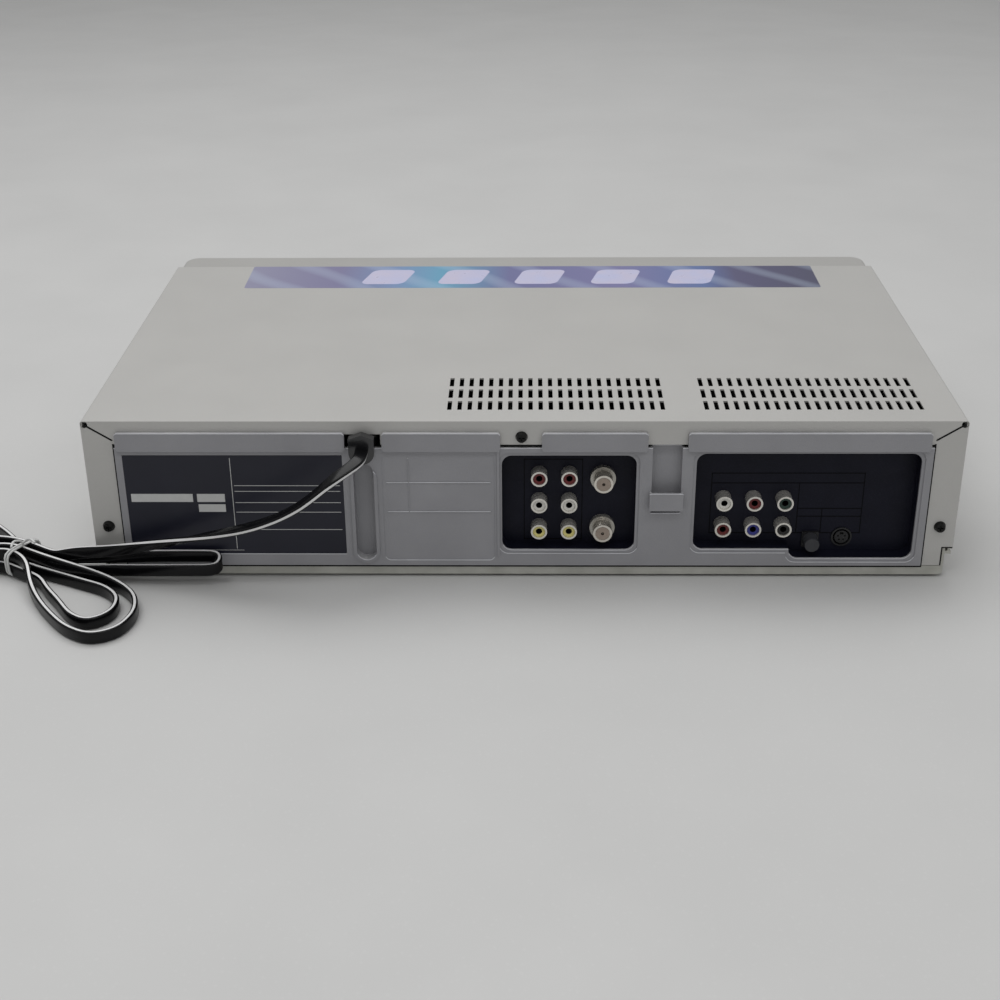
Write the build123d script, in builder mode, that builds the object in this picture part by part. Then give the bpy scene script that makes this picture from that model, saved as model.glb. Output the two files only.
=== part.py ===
from build123d import *
from math import asin, cos, degrees, dist, hypot, pi, radians, sin, tan
import os

os.makedirs("parts", exist_ok=True)

# A full-width disc player and cassette recorder in one flat case, in millimetres.
# The front looks along -Y, the jacks along +Y, +Z is up and the floor is z = 0.
# Heights are counted from the underside of the tray, which stands on the feet.

# ---------------------------------------------------------------- driving sizes
width = 430.0  # cover, side to side
cover_depth = 240.6  # cover, front edge to rear flange
cover_height = 84.0  # cover top above the tray's underside
front_depth = 25.0  # front panel, in front of the cover's edge
hook_reach = 4.4  # cord hook, outwards from the rear flange
foot_height = 1.5
sheet = 0.8  # cover steel
tray_sheet = 1.0  # tray steel
gap = 0.3  # beside a piece that moves or isn't fixed
snug = 0.1  # round a piece clipped into its seat
running = 0.05  # radial, round a shaft

# rear flange of the cover
flange_side = 15.0
flange_top = 12.3
notch_width = 5.0
notch_height = 15.0
cover_foot = 14.0  # lower edge of the cover's sides
fold_radius = 1.2
relief_radius = 1.8
vent_width = 2.2
vent_length = 11.0
vent_pitch = 5.0
vent_row_pitch = 15.2
vents_per_row = 22
vent_rows = 3
vent_group_x = (-16.4, -143.0)
vent_from_rear = 35.1  # middle row to the rear flange

# tray
lip_height = 4.9
wall_inset = 3.5  # tray wall, inwards from the cover's side
ledge_height = 12.8
ledge_thickness = 1.6
upstand_height = 26.0
corner_tab_height = 34.0
foot_radius = 9.0
foot_places = (180.0, 105.0)

# rear panel, a moulding
panel_proud = 1.3
panel_wall = 2.0
panel_top = 70.2
tab_proud = 2.5
tab_low = 68.8
tab_high = 78.5
tab_radius = 1.5
tabs = ((86.7, 198.6), (10.9, 68.5), (-60.9, -9.5), (-197.7, -80.4))
rim_width = 1.6
rim_step = 0.6
recess_radius = 5.0
vcr_opening = (-55.8, 10.2, 14.0, 66.2)
dvd_opening = (-194.5, -85.0, 14.4, 67.2)
dvd_step_x = -133.0
dvd_step_low = 9.2
jack_recess = 8.5  # jack plate's face behind the rear flange
jack_plate_wall = 1.5
plate_area = (88.3, 196.2, 12.0, 66.6)
plate_thickness = 0.4
notice_area = (13.8, 69.0, 8.6, 67.0)
notice_lines = (35.6, 51.6)
notice_divider = 56.1
rib_x = 12.0

# cord bush, channel and hook
bush_x = 78.15
bush_width = 12.5
bush_neck = 10.5
bush_low = 63.6
bush_high = 76.9
bush_ridge = 79.2
bush_reach = 6.0
channel_width = 10.0
channel_low = 9.0
channel_high = 62.0
channel_depth = 5.0
hook_x = -70.6
hook_width = 16.5
hook_low = 37.7
hook_high = 47.0
hook_wall = 1.5
hook_recess_depth = 4.3
hook_recess_low = 35.0

# jacks
rca_radius = 4.05
rca_inner = 3.15
rca_hole = 1.6
rca_reach = 7.5  # out of the jack plate's face
rca_tail = 5.0  # behind the jack plate
vcr_columns = (-8.2, -23.1)
vcr_rows = (23.2, 37.8, 52.4)
dvd_columns = (-100.0, -115.0, -130.1)
dvd_rows = (24.4, 38.9)
rf_x = -39.9
rf_rows = (23.4, 50.6)
rf_radius = 4.75
rf_flange = 6.3
rf_reach = 9.5
svideo_place = (-160.7, 17.2)
svideo_radius = 5.2
optical_place = (-144.9, 16.1)
optical_size = 8.3
optical_cavity = 5.4
cap_radius = 3.6
cap_reach = 6.5
cap_travel = 14.0

# screws
screw_places = ((207.2, 27.0), (0.5, 75.8), (-207.2, 27.0))
screw_head = 3.0
screw_core = 1.5
screw_length = 7.0

# front panel
front_inset = 1.5  # front panel's sides, inwards from the cover's
front_top = 82.5
front_wall = 2.5
front_corner = 9.0
front_edge = 2.5
collar = 6.0  # part of the panel that slides under the cover
tray_slot = (-195.5, -54.5, 55.5, 72.5)
cassette_slot = (9.0, 201.0, 46.5, 76.5)
window_area = (-78.0, 36.0, 13.0, 38.0)
window_thickness = 2.0
window_ledge = 3.0
button_travel = 0.8
button_proud = 1.4
button_flange = 1.5
front_board_back = 14.0  # switch board behind the panel's face
front_jack_columns = (170.0, 183.0, 196.0)
front_jack_height = 26.0

# disc loader
disc_x = -125.0
spindle_from_front = 70.0
tray_travel = 140.0
disc_tray_width = 130.0
disc_tray_length = 166.0
disc_tray_low = 58.5
disc_tray_high = 64.5
disc_well = 61.0
disc_well_depth = 2.2
small_well = 41.0
small_well_depth = 1.2
spindle_slot = 40.0
lid_thickness = 3.2
loader_wall = 2.5
loader_floor = 44.0
loader_floor_thickness = 2.0
loader_top = 74.0
loader_back_y = 70.0
loader_front_gap = 16.0  # loader behind the panel's face
rack_x = -166.0
tooth_module = 1.0
tray_gear_teeth = 24
pinion_teeth = 8
gear_low = 47.0
gear_thickness = 6.0
traverse_low = 47.0
traverse_thickness = 2.0
turntable_radius = 15.0
turntable_low = 60.2
turntable_thickness = 2.0
hub_radius = 7.4
hub_height = 2.4
clamp_radius = 14.0
clamp_neck = 10.0
clamp_low = 66.2
sled_inner = 22.0  # lens to spindle, innermost
sled_travel = 36.0
sled_length = 30.0
sled_width = 44.0
rod_radius = 1.5
rod_spread = 16.0
sled_gear_teeth = 10
traverse_pivot_radius = 2.0

# cassette deck
deck_x = 105.0
deck_half = 99.0
deck_plate = 12.0
deck_thickness = 1.6
deck_front_y = -101.0
deck_middle_y = 43.0
deck_back_y = 108.0
deck_top = 77.0
basket_width = 188.0
basket_depth = 104.0
basket_floor = 48.0
basket_height = 27.5
basket_sheet = 1.0
carriage_travel = 35.0
cassette_drop = 22.0
reel_spread = 92.0
reel_y = -18.0
reel_radius = 20.0
drum_y = 75.0
drum_radius = 31.0
drum_split = 34.0
drum_top = 52.0
drum_tilt = 5.9
capstan_place = (162.0, 52.0)
capstan_radius = 1.5
flywheel_radius = 22.0
pinch_place = (180.0, 74.0)
pinch_radius = 6.5
pinch_swing = 18.0

# boards
board_level = 7.0
board_thickness = 1.6

# mains lead: two-core flat flex, drawn as a round tube of the same section
cord_radius = 2.4
cord_sides = 8
waist = (255.0, -6.0)  # the tie, x and distance behind the rear flange
waist_angle = 146.5  # direction of the bundle at the tie
strand_pitch = 5.6
low_z = 4.4
high_z = 10.8
floor_z = 3.4
tie_wire = 0.6
tie_width = 3.0
plug_length = 32.0
plug_width = 24.0
plug_height = 13.0
blade_length = 17.0

# ---------------------------------------------------------------- derived places
overall_depth = cover_depth + front_depth + hook_reach
half_width = width / 2
base_z = foot_height
front_y = -overall_depth / 2
joint_y = front_y + front_depth
rear_y = joint_y + cover_depth
inner_x = half_width - sheet
flange_x = half_width - flange_side
flange_bottom = cover_height - flange_top
notch_x = half_width - notch_width
panel_y = rear_y + panel_proud  # outer face of the rear panel
panel_back_y = panel_y - panel_wall
jack_y = rear_y - jack_recess
plate_back_y = jack_y - jack_plate_wall
wall_x = half_width - wall_inset
board_top = board_level + board_thickness
inside_y = front_y + front_wall
spindle_y = front_y + spindle_from_front


def across(y):
    """Upright plane at y: local x runs along X, local y is the height, and it is extruded to the front."""
    return Plane(origin=(0, y, base_z), x_dir=(1, 0, 0), z_dir=(0, -1, 0))


def level(height, x=0.0, y=0.0):
    """Flat plane at a height above the tray's underside."""
    return Plane(origin=(x, y, base_z + height))


def block(x0, x1, y0, y1, mode=Mode.ADD):
    """A rectangle in the current sketch, from its four sides."""
    with Locations(((x0 + x1) / 2, (y0 + y1) / 2)):
        Rectangle(x1 - x0, y1 - y0, mode=mode)


def rounded(x0, x1, y0, y1, radius, mode=Mode.ADD):
    """A rectangle with round corners, from its four sides."""
    with Locations(((x0 + x1) / 2, (y0 + y1) / 2)):
        RectangleRounded(x1 - x0, y1 - y0, radius, mode=mode)


def disc(x, y, radius, mode=Mode.ADD):
    with Locations((x, y)):
        Circle(radius, mode=mode)


def gear_points(teeth, module, turn=0.0):
    """Outline of a spur gear with straight-sided teeth and some backlash."""
    pitch_radius = teeth * module / 2
    points = []
    for tooth in range(teeth):
        middle = 2 * pi * tooth / teeth + turn
        for radius, share in ((-1.15, -0.30), (0.85, -0.12), (0.85, 0.12), (-1.15, 0.30)):
            angle = middle + share * 2 * pi / teeth
            reach = pitch_radius + radius * module
            points.append((reach * cos(angle), reach * sin(angle)))
    return points


def rack_points(count, module, back):
    """Outline of a rack along local y, with its teeth towards -x and its pitch line at x = 0."""
    pitch = pi * module
    points = [(back, count * pitch / 2), (back, -count * pitch / 2)]
    for tooth in range(count):
        middle = (tooth + 0.5 - count / 2) * pitch
        for x, share in ((1.15, -0.30), (-0.85, -0.12), (-0.85, 0.12), (1.15, 0.30)):
            points.append((x * module, middle + share * pitch))
    return points


# ================================================================ casing
with BuildPart() as top_cover:
    with BuildSketch(across(rear_y)) as arch:
        block(-half_width, half_width, cover_foot, cover_height)
        fillet(arch.vertices().group_by(Axis.Y)[-1], fold_radius)
        block(-inner_x, inner_x, cover_foot, cover_height - sheet, mode=Mode.SUBTRACT)
    extrude(amount=cover_depth)
    with BuildSketch(across(rear_y)) as flange:
        block(-half_width, half_width, notch_height, cover_height)
        fillet(flange.vertices().group_by(Axis.Y)[-1], fold_radius)
        block(-notch_x, notch_x, lip_height + gap, notch_height)
        block(-flange_x, flange_x, lip_height, flange_bottom, mode=Mode.SUBTRACT)
        block(bush_x - 8.9, bush_x + 8.9, flange_bottom, bush_high + gap, mode=Mode.SUBTRACT)
        for x, height in screw_places:
            disc(x, height, screw_core + gap, mode=Mode.SUBTRACT)
    extrude(amount=sheet)
    # open mitres and their punched ends, and the outer corners below, where the tray shows
    with BuildSketch(across(rear_y)):
        for side in (-1, 1):
            relief = (side * (half_width - relief_radius), cover_height - relief_radius)
            mitre = (side * flange_x, flange_bottom + 2.0)
            disc(*relief, relief_radius)
            with Locations(((relief[0] + mitre[0]) / 2, (relief[1] + mitre[1]) / 2)):
                slope = degrees(asin((relief[1] - mitre[1]) / dist(relief, mitre)))
                Rectangle(dist(relief, mitre), 0.5, rotation=side * slope)
            block(*sorted((side * notch_x, side * (half_width + 1))), 0, notch_height)
    extrude(amount=sheet, mode=Mode.SUBTRACT)
    with BuildSketch(level(cover_height)):
        for group_x in vent_group_x:
            with Locations((group_x, rear_y - vent_from_rear)):
                with GridLocations(vent_pitch, vent_row_pitch, vents_per_row, vent_rows):
                    Rectangle(vent_width, vent_length)
    extrude(amount=-sheet, mode=Mode.SUBTRACT)
top_cover.part.label = "top_cover"
export_step(top_cover.part, "parts/top_cover.step")

# boards and decks stand on bosses drawn up from the tray
board_bosses = (
    (-178.0, 30.0), (-178.0, 112.0), (-74.0, 30.0), (-74.0, 112.0),
    (-42.0, -92.0), (-2.0, -92.0), (-42.0, 114.0), (-2.0, 114.0),
    (16.0, 54.0), (58.0, 54.0), (16.0, 118.0), (58.0, 118.0),
)
deck_bosses = (
    (12.0, deck_front_y + 8), (198.0, deck_front_y + 8), (12.0, 34.0), (198.0, 34.0),
    (76.0, 101.0), (134.0, 101.0),
)
boss_radius = 3.0
with BuildPart() as chassis_tray:
    with BuildSketch(across(rear_y - sheet - gap)):
        block(0, wall_x, 0, tray_sheet)
        block(wall_x - tray_sheet, wall_x, 0, ledge_height)
        rounded(wall_x - tray_sheet, half_width - 0.2, ledge_height - ledge_thickness, ledge_height, 0.5)
        block(inner_x - gap - tray_sheet, inner_x - gap, ledge_height - 0.8, upstand_height)
        mirror(about=Plane.YZ)
    extrude(amount=cover_depth - sheet - gap)
    with BuildSketch(across(rear_y)):
        block(-notch_x + gap, notch_x - gap, 0, lip_height)
    extrude(amount=tray_sheet)
    with BuildSketch(across(rear_y)):
        block(-notch_x + gap, notch_x - gap, 0, tray_sheet)
    extrude(amount=2 * sheet + gap)
    # upright tabs that take the screws through the cover's side flanges
    with BuildSketch(across(rear_y - sheet)):
        block(flange_x + 3, wall_x, 0, corner_tab_height)
        mirror(about=Plane.YZ)
        for x, height in (screw_places[0], screw_places[2]):
            disc(x, height, screw_core + running, mode=Mode.SUBTRACT)
    extrude(amount=tray_sheet)
    with BuildSketch(level(tray_sheet)):
        for x, y in board_bosses:
            disc(x, y, boss_radius)
    extrude(amount=board_level - tray_sheet)
    with BuildSketch(level(tray_sheet)):
        for x, y in deck_bosses:
            disc(x, y, boss_radius)
    extrude(amount=deck_plate - tray_sheet)
chassis_tray.part.label = "chassis_tray"
export_step(chassis_tray.part, "parts/chassis_tray.step")

with BuildPart() as feet:
    with BuildSketch(Plane.XY):
        with GridLocations(2 * foot_places[0], 2 * foot_places[1], 2, 2):
            Circle(foot_radius)
    extrude(amount=foot_height)
feet.part.label = "feet"
export_step(feet.part, "parts/feet.step")


def dvd_outline(grow):
    """The disc jacks' opening, with its step down on one side."""
    x0, x1, low, high = dvd_opening
    rounded(x0 - grow, x1 + grow, low - grow, high + grow, recess_radius)
    rounded(x0 - grow, dvd_step_x + grow, dvd_step_low - grow, high + grow, recess_radius)


def vcr_outline(grow):
    """The cassette jacks' opening."""
    x0, x1, low, high = vcr_opening
    rounded(x0 - grow, x1 + grow, low - grow, high + grow, recess_radius)


with BuildPart() as rear_panel:
    with BuildSketch(across(panel_y)):
        block(-flange_x + 0.4, flange_x - 0.4, lip_height + 0.7, panel_top)
    extrude(amount=panel_wall)
    with BuildSketch(across(rear_y + tab_proud)):
        for x0, x1 in tabs:
            rounded(x0, x1, tab_low, tab_high, tab_radius)
    extrude(amount=tab_proud - gap / 2)
    # boss behind the cover's flange for the middle screw
    with BuildSketch(across(rear_y - sheet - snug)):
        x, height = screw_places[1]
        block(x - 6.5, x + 6.5, panel_top - 2, height + 4)
    extrude(amount=9)
    with BuildSketch(across(panel_back_y)):
        block(x - 6.5, x + 6.5, panel_top - 2, panel_top)
    extrude(amount=4)
    # trough behind the cord channel and pocket behind the hook
    with BuildSketch(across(panel_back_y)):
        half = channel_width / 2 + 2.2
        block(bush_x - half, bush_x + half, channel_low - 2.2, channel_high + 1.2)
    extrude(amount=channel_depth)
    with BuildSketch(across(panel_back_y)):
        block(hook_x - hook_width / 2, hook_x + hook_width / 2, hook_recess_low - 2, panel_top)
    extrude(amount=hook_recess_depth)
    # raised rim of the channel, the rib beside the jacks and the hook's strap
    with BuildSketch(across(panel_y + 0.8)):
        half = channel_width / 2 + 1.6
        rounded(bush_x - half, bush_x + half, channel_low - 1.6, channel_high - 1.7, half - 0.01)
    extrude(amount=0.8)
    with BuildSketch(across(panel_y + 0.6)):
        block(rib_x - 0.6, rib_x + 0.6, vcr_opening[2] - 3, tab_low)
    extrude(amount=0.6)
    with BuildSketch(across(rear_y + hook_reach)):
        rounded(hook_x - hook_width / 2, hook_x + hook_width / 2, hook_low, hook_high, 0.6)
    extrude(amount=hook_reach - panel_proud)
    with BuildSketch(across(rear_y + hook_reach - hook_wall)):
        block(hook_x - hook_width / 2 + 1, hook_x + hook_width / 2 - 1, hook_recess_low, panel_top + 1)
    extrude(amount=hook_reach - hook_wall - panel_proud + hook_recess_depth, mode=Mode.SUBTRACT)
    with BuildSketch(across(panel_y + 0.8)):
        half = channel_width / 2
        rounded(bush_x - half, bush_x + half, channel_low, channel_high, half - 0.01)
    extrude(amount=channel_depth + 0.8, mode=Mode.SUBTRACT)
    # seat of the cord bush
    with BuildSketch(across(rear_y + tab_proud)):
        half = bush_neck / 2 + snug
        block(bush_x - half, bush_x + half, bush_low + bush_width / 2, tab_high)
        disc(bush_x, bush_low + bush_width / 2, half)
    extrude(amount=20, mode=Mode.SUBTRACT)
    # shallow seats of the plate and of the notice, with the notice's ruled lines left standing
    with BuildSketch(across(panel_y)):
        block(*plate_area)
    extrude(amount=0.5, mode=Mode.SUBTRACT)
    with BuildSketch(across(panel_y)):
        x0, x1, low, high = notice_area
        rounded(x0, x1, low, high, 3.0)
        for height in notice_lines:
            block(x0 + 2, x1 - 2, height - 0.25, height + 0.25, mode=Mode.SUBTRACT)
        block(notice_divider - 0.25, notice_divider + 0.25, notice_lines[0], high - 2, mode=Mode.SUBTRACT)
    extrude(amount=0.3, mode=Mode.SUBTRACT)
    # stepped rims and openings over the jack plates
    for outline in (vcr_outline, dvd_outline):
        with BuildSketch(across(panel_y)):
            outline(rim_width)
        extrude(amount=rim_step, mode=Mode.SUBTRACT)
        with BuildSketch(across(panel_y)):
            outline(0)
        extrude(amount=panel_wall, mode=Mode.SUBTRACT)
    with BuildSketch(across(rear_y)):
        disc(*screw_places[1], screw_core + running)
    extrude(amount=9, mode=Mode.SUBTRACT)
rear_panel.part.label = "rear_panel"
export_step(rear_panel.part, "parts/rear_panel.step")

with BuildPart() as nameplate:
    with BuildSketch(across(panel_y - 0.5 + plate_thickness)):
        x0, x1, low, high = plate_area
        rounded(x0 + snug, x1 - snug, low + snug, high - snug, 1.0)
    extrude(amount=plate_thickness)
nameplate.part.label = "nameplate"
export_step(nameplate.part, "parts/nameplate.step")

with BuildPart() as vcr_jack_plate:
    with BuildSketch(across(panel_back_y)):
        vcr_outline(jack_plate_wall)
    extrude(amount=panel_back_y - plate_back_y)
    with BuildSketch(across(panel_back_y)):
        vcr_outline(0)
    extrude(amount=panel_back_y - jack_y, mode=Mode.SUBTRACT)
    with BuildSketch(across(jack_y)):
        for x in vcr_columns:
            for height in vcr_rows:
                disc(x, height, rca_radius + running)
        for height in rf_rows:
            disc(rf_x, height, rf_radius + running)
    extrude(amount=jack_plate_wall, mode=Mode.SUBTRACT)
vcr_jack_plate.part.label = "vcr_jack_plate"
export_step(vcr_jack_plate.part, "parts/vcr_jack_plate.step")

with BuildPart() as dvd_jack_plate:
    with BuildSketch(across(panel_back_y)):
        dvd_outline(jack_plate_wall)
    extrude(amount=panel_back_y - plate_back_y)
    with BuildSketch(across(panel_back_y)):
        dvd_outline(0)
    extrude(amount=panel_back_y - jack_y, mode=Mode.SUBTRACT)
    with BuildSketch(across(jack_y)):
        for x in dvd_columns:
            for height in dvd_rows:
                disc(x, height, rca_radius + running)
        disc(*svideo_place, svideo_radius + running)
        half = optical_size / 2 + running
        x, height = optical_place
        block(x - half, x + half, height - half, height + half)
    extrude(amount=jack_plate_wall, mode=Mode.SUBTRACT)
dvd_jack_plate.part.label = "dvd_jack_plate"
export_step(dvd_jack_plate.part, "parts/dvd_jack_plate.step")

# rear jacks look along +Y, the three on the front along -Y; each is a metal shell round an insulator
rear_jacks = [(x, height) for x in vcr_columns for height in vcr_rows]
rear_jacks += [(x, height) for x in dvd_columns for height in dvd_rows]
front_jacks = [(x, front_jack_height) for x in front_jack_columns]
shell_length = rca_reach + jack_plate_wall + rca_tail
front_jack_y = front_y + 1.0
with BuildPart() as rca_jack_shells:
    with BuildSketch(across(jack_y + rca_reach)):
        for x, height in rear_jacks:
            disc(x, height, rca_radius)
            disc(x, height, rca_inner, mode=Mode.SUBTRACT)
    extrude(amount=shell_length)
    with BuildSketch(across(front_jack_y + shell_length)):
        for x, height in front_jacks:
            disc(x, height, rca_radius)
            disc(x, height, rca_inner, mode=Mode.SUBTRACT)
    extrude(amount=shell_length)
rca_jack_shells.part.label = "rca_jack_shells"
export_step(rca_jack_shells.part, "parts/rca_jack_shells.step")


def inserts(rear_places, front_places):
    """Coloured insulators: a sleeve with the signal hole, set 1 mm inside its shell."""
    with BuildPart() as sleeves:
        if rear_places:
            with BuildSketch(across(jack_y + rca_reach - 1)):
                for x, height in rear_places:
                    disc(x, height, rca_inner - running)
            extrude(amount=shell_length - 1)
            with BuildSketch(across(jack_y + rca_reach - 1)):
                for x, height in rear_places:
                    disc(x, height, rca_hole)
            extrude(amount=9, mode=Mode.SUBTRACT)
        if front_places:
            with BuildSketch(across(front_jack_y + shell_length)):
                for x, height in front_places:
                    disc(x, height, rca_inner - running)
            extrude(amount=shell_length - 1)
            with BuildSketch(across(front_jack_y + 10)):
                for x, height in front_places:
                    disc(x, height, rca_hole)
            extrude(amount=9, mode=Mode.SUBTRACT)
    return sleeves.part


rca_inserts_red = inserts(
    [(vcr_columns[0], vcr_rows[2]), (vcr_columns[1], vcr_rows[2]),
     (dvd_columns[0], dvd_rows[0]), (dvd_columns[1], dvd_rows[1])],
    [front_jacks[2]],
)
rca_inserts_red.label = "rca_inserts_red"
export_step(rca_inserts_red, "parts/rca_inserts_red.step")
rca_inserts_white = inserts(
    [(vcr_columns[0], vcr_rows[1]), (vcr_columns[1], vcr_rows[1]), (dvd_columns[0], dvd_rows[1])],
    [front_jacks[1]],
)
rca_inserts_white.label = "rca_inserts_white"
export_step(rca_inserts_white, "parts/rca_inserts_white.step")
rca_inserts_yellow = inserts(
    [(vcr_columns[0], vcr_rows[0]), (vcr_columns[1], vcr_rows[0])],
    [front_jacks[0]],
)
rca_inserts_yellow.label = "rca_inserts_yellow"
export_step(rca_inserts_yellow, "parts/rca_inserts_yellow.step")
rca_inserts_dark = inserts(
    [(dvd_columns[1], dvd_rows[0]), (dvd_columns[2], dvd_rows[0]), (dvd_columns[2], dvd_rows[1])],
    [],
)
rca_inserts_dark.label = "rca_inserts_dark"
export_step(rca_inserts_dark, "parts/rca_inserts_dark.step")

with BuildPart() as rf_connectors:
    rf_tip_y = jack_y + rf_reach
    for height in rf_rows:
        with BuildSketch(across(rf_tip_y)):
            disc(rf_x, height, rf_radius)
        extrude(amount=rf_reach + jack_plate_wall + rca_tail)
        with BuildSketch(across(jack_y + 3)):
            disc(rf_x, height, rf_flange)
        extrude(amount=3)
        with BuildSketch(across(rf_tip_y)):
            disc(rf_x, height, rf_radius - 1.1)
        extrude(amount=0.8, mode=Mode.SUBTRACT)
        with BuildSketch(across(rf_tip_y)):
            disc(rf_x, height, 0.7)
        extrude(amount=7, mode=Mode.SUBTRACT)
rf_connectors.part.label = "rf_connectors"
export_step(rf_connectors.part, "parts/rf_connectors.step")

with BuildPart() as svideo_socket:
    with BuildSketch(across(jack_y + 0.8)):
        disc(*svideo_place, svideo_radius)
    extrude(amount=0.8 + jack_plate_wall + rca_tail)
    with BuildSketch(across(jack_y + 0.8)):
        disc(*svideo_place, svideo_radius - 0.8)
        disc(*svideo_place, svideo_radius - 1.7, mode=Mode.SUBTRACT)
    extrude(amount=4, mode=Mode.SUBTRACT)
    with BuildSketch(across(jack_y + 0.8)):
        x, height = svideo_place
        for pin_x, pin_height in ((-1.7, 0.6), (1.7, 0.6), (-1.1, -1.4), (1.1, -1.4)):
            disc(x + pin_x, height + pin_height, 0.45)
        block(x - 0.9, x + 0.9, height + 1.5, height + 2.6)
    extrude(amount=4, mode=Mode.SUBTRACT)
svideo_socket.part.label = "svideo_socket"
export_step(svideo_socket.part, "parts/svideo_socket.step")

with BuildPart() as optical_port:
    with BuildSketch(across(jack_y + 1.5)):
        x, height = optical_place
        half = optical_size / 2
        block(x - half, x + half, height - half, height + half)
    extrude(amount=1.5 + jack_plate_wall + rca_tail)
    with BuildSketch(across(jack_y + 1.5)):
        half = optical_cavity / 2
        block(x - half, x + half, height - half, height + half)
    extrude(amount=6.5, mode=Mode.SUBTRACT)
optical_port.part.label = "optical_port"
export_step(optical_port.part, "parts/optical_port.step")

with BuildPart() as optical_dust_cap:
    with BuildSketch(across(jack_y + 1.5 + snug)):
        half = optical_cavity / 2 - snug
        block(x - half, x + half, height - half, height + half)
    extrude(amount=6)
    with BuildSketch(across(jack_y + 1.5 + snug + cap_reach)):
        disc(x, height, cap_radius)
    extrude(amount=cap_reach, taper=-3)
optical_dust_cap.part.label = "optical_dust_cap"
export_step(optical_dust_cap.part, "parts/optical_dust_cap.step")

with BuildPart() as rear_screws:
    for x, height in screw_places:
        with BuildSketch(across(rear_y)):
            disc(x, height, screw_core)
        extrude(amount=screw_length)
        with BuildSketch(across(rear_y)):
            disc(x, height, screw_head)
        extrude(amount=-2.0, taper=18)
        with BuildSketch(across(rear_y + 2.0)):
            with Locations((x, height)):
                Rectangle(3.0, 0.7)
                Rectangle(0.7, 3.0)
        extrude(amount=1.0, mode=Mode.SUBTRACT)
rear_screws.part.label = "rear_screws"
export_step(rear_screws.part, "parts/rear_screws.step")

# ================================================================ front
# push buttons: name, centre x, centre height, width, height of the cap
buttons = (
    ("power_button", -184.0, 26.0, 16.0, 16.0),
    ("disc_eject_button", -155.0, 31.0, 24.0, 7.0),
    ("disc_play_button", -125.0, 31.0, 24.0, 7.0),
    ("disc_stop_button", -97.0, 31.0, 20.0, 7.0),
    ("tape_eject_button", 56.0, 31.0, 22.0, 7.0),
    ("tape_play_button", 84.0, 31.0, 22.0, 7.0),
    ("tape_stop_button", 112.0, 31.0, 22.0, 7.0),
)
rocker = (56.0, 112.0, 17.0, 7.0)  # left end, right end, centre height, height of the rocker
rocker_x = (rocker[0] + rocker[1]) / 2
door_pin = 1.5
door_axis_y = front_y + 4.0
door_axis_height = cassette_slot[3] - 2.2


def cap_outline(x, height, across_x, up, grow=0.0):
    """A button's face: round when it is square, else a bar with round ends."""
    if across_x == up:
        disc(x, height, up / 2 + grow)
    else:
        rounded(x - across_x / 2 - grow, x + across_x / 2 + grow,
                height - up / 2 - grow, height + up / 2 + grow, up / 2 + grow - 0.01)


with BuildPart() as front_panel:
    side_x = half_width - front_inset
    with BuildSketch(level(0)) as plan:
        block(-side_x, side_x, front_y, joint_y + collar)
        fillet(plan.vertices().group_by(Axis.Y)[0], front_corner)
    extrude(amount=front_top)
    fillet(front_panel.faces().sort_by(Axis.Z)[-1].edges().group_by(Axis.Y)[0], front_edge)
    fillet(front_panel.faces().sort_by(Axis.Z)[0].edges().group_by(Axis.Y)[0], front_edge)
    with BuildSketch(level(front_wall)) as hollow:
        block(-side_x + front_wall, side_x - front_wall, inside_y, joint_y + collar)
        fillet(hollow.vertices().group_by(Axis.Y)[0], front_corner - front_wall)
    extrude(amount=front_top - 2 * front_wall, mode=Mode.SUBTRACT)
    # the collar steps in to pass the tray's ledges and slides under the cover
    with BuildSketch(across(joint_y + collar)):
        block(wall_x - 2 * tray_sheet, half_width, -1, upstand_height + 1)
        block(-half_width, half_width, -1, tray_sheet + gap)
        mirror(about=Plane.YZ)
    extrude(amount=collar, mode=Mode.SUBTRACT)
    # groove between the loading bays and the key field
    with BuildSketch(across(front_y)):
        block(-side_x, side_x, 42.4, 43.4)
    extrude(amount=0.8, mode=Mode.SUBTRACT)
    # ears for the cassette door's pins
    with BuildSketch(across(inside_y)):
        for x0, x1 in ((cassette_slot[0] - 4, cassette_slot[0]), (cassette_slot[1], cassette_slot[1] + 4)):
            block(x0, x1, door_axis_height - 4, door_axis_height + 4)
    extrude(amount=-5)
    with BuildSketch(across(front_y)):
        block(*tray_slot)
        block(*cassette_slot)
        x0, x1, low, high = window_area
        block(x0 + window_ledge, x1 - window_ledge, low + window_ledge, high - window_ledge)
        for name, x, height, across_x, up in buttons:
            cap_outline(x, height, across_x, up, gap)
        cap_outline(rocker_x, rocker[2], rocker[1] - rocker[0], rocker[3], gap)
        for x, height in front_jacks:
            disc(x, height, rca_radius + gap)
    extrude(amount=-front_wall, mode=Mode.SUBTRACT)
    with BuildSketch(across(front_y)):
        rounded(*window_area, 2.0)
    extrude(amount=-window_thickness, mode=Mode.SUBTRACT)
    with BuildSketch(Plane(origin=(0, door_axis_y, base_z + door_axis_height), z_dir=(1, 0, 0))):
        Circle(door_pin + running)
    extrude(amount=cassette_slot[1] + 5, mode=Mode.SUBTRACT)
    # posts that carry the switch board
    with BuildSketch(across(inside_y)):
        for x in (-200.0, -88.0, 44.0, 205.0):
            disc(x, 10.0, 2.5)
    extrude(amount=-(front_y + front_board_back - inside_y))
front_panel.part.label = "front_panel"
export_step(front_panel.part, "parts/front_panel.step")

with BuildPart() as display_window:
    with BuildSketch(across(front_y)):
        x0, x1, low, high = window_area
        rounded(x0 + snug, x1 - snug, low + snug, high - snug, 2.0)
    extrude(amount=-(window_thickness - running))
display_window.part.label = "display_window"
export_step(display_window.part, "parts/display_window.step")

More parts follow.
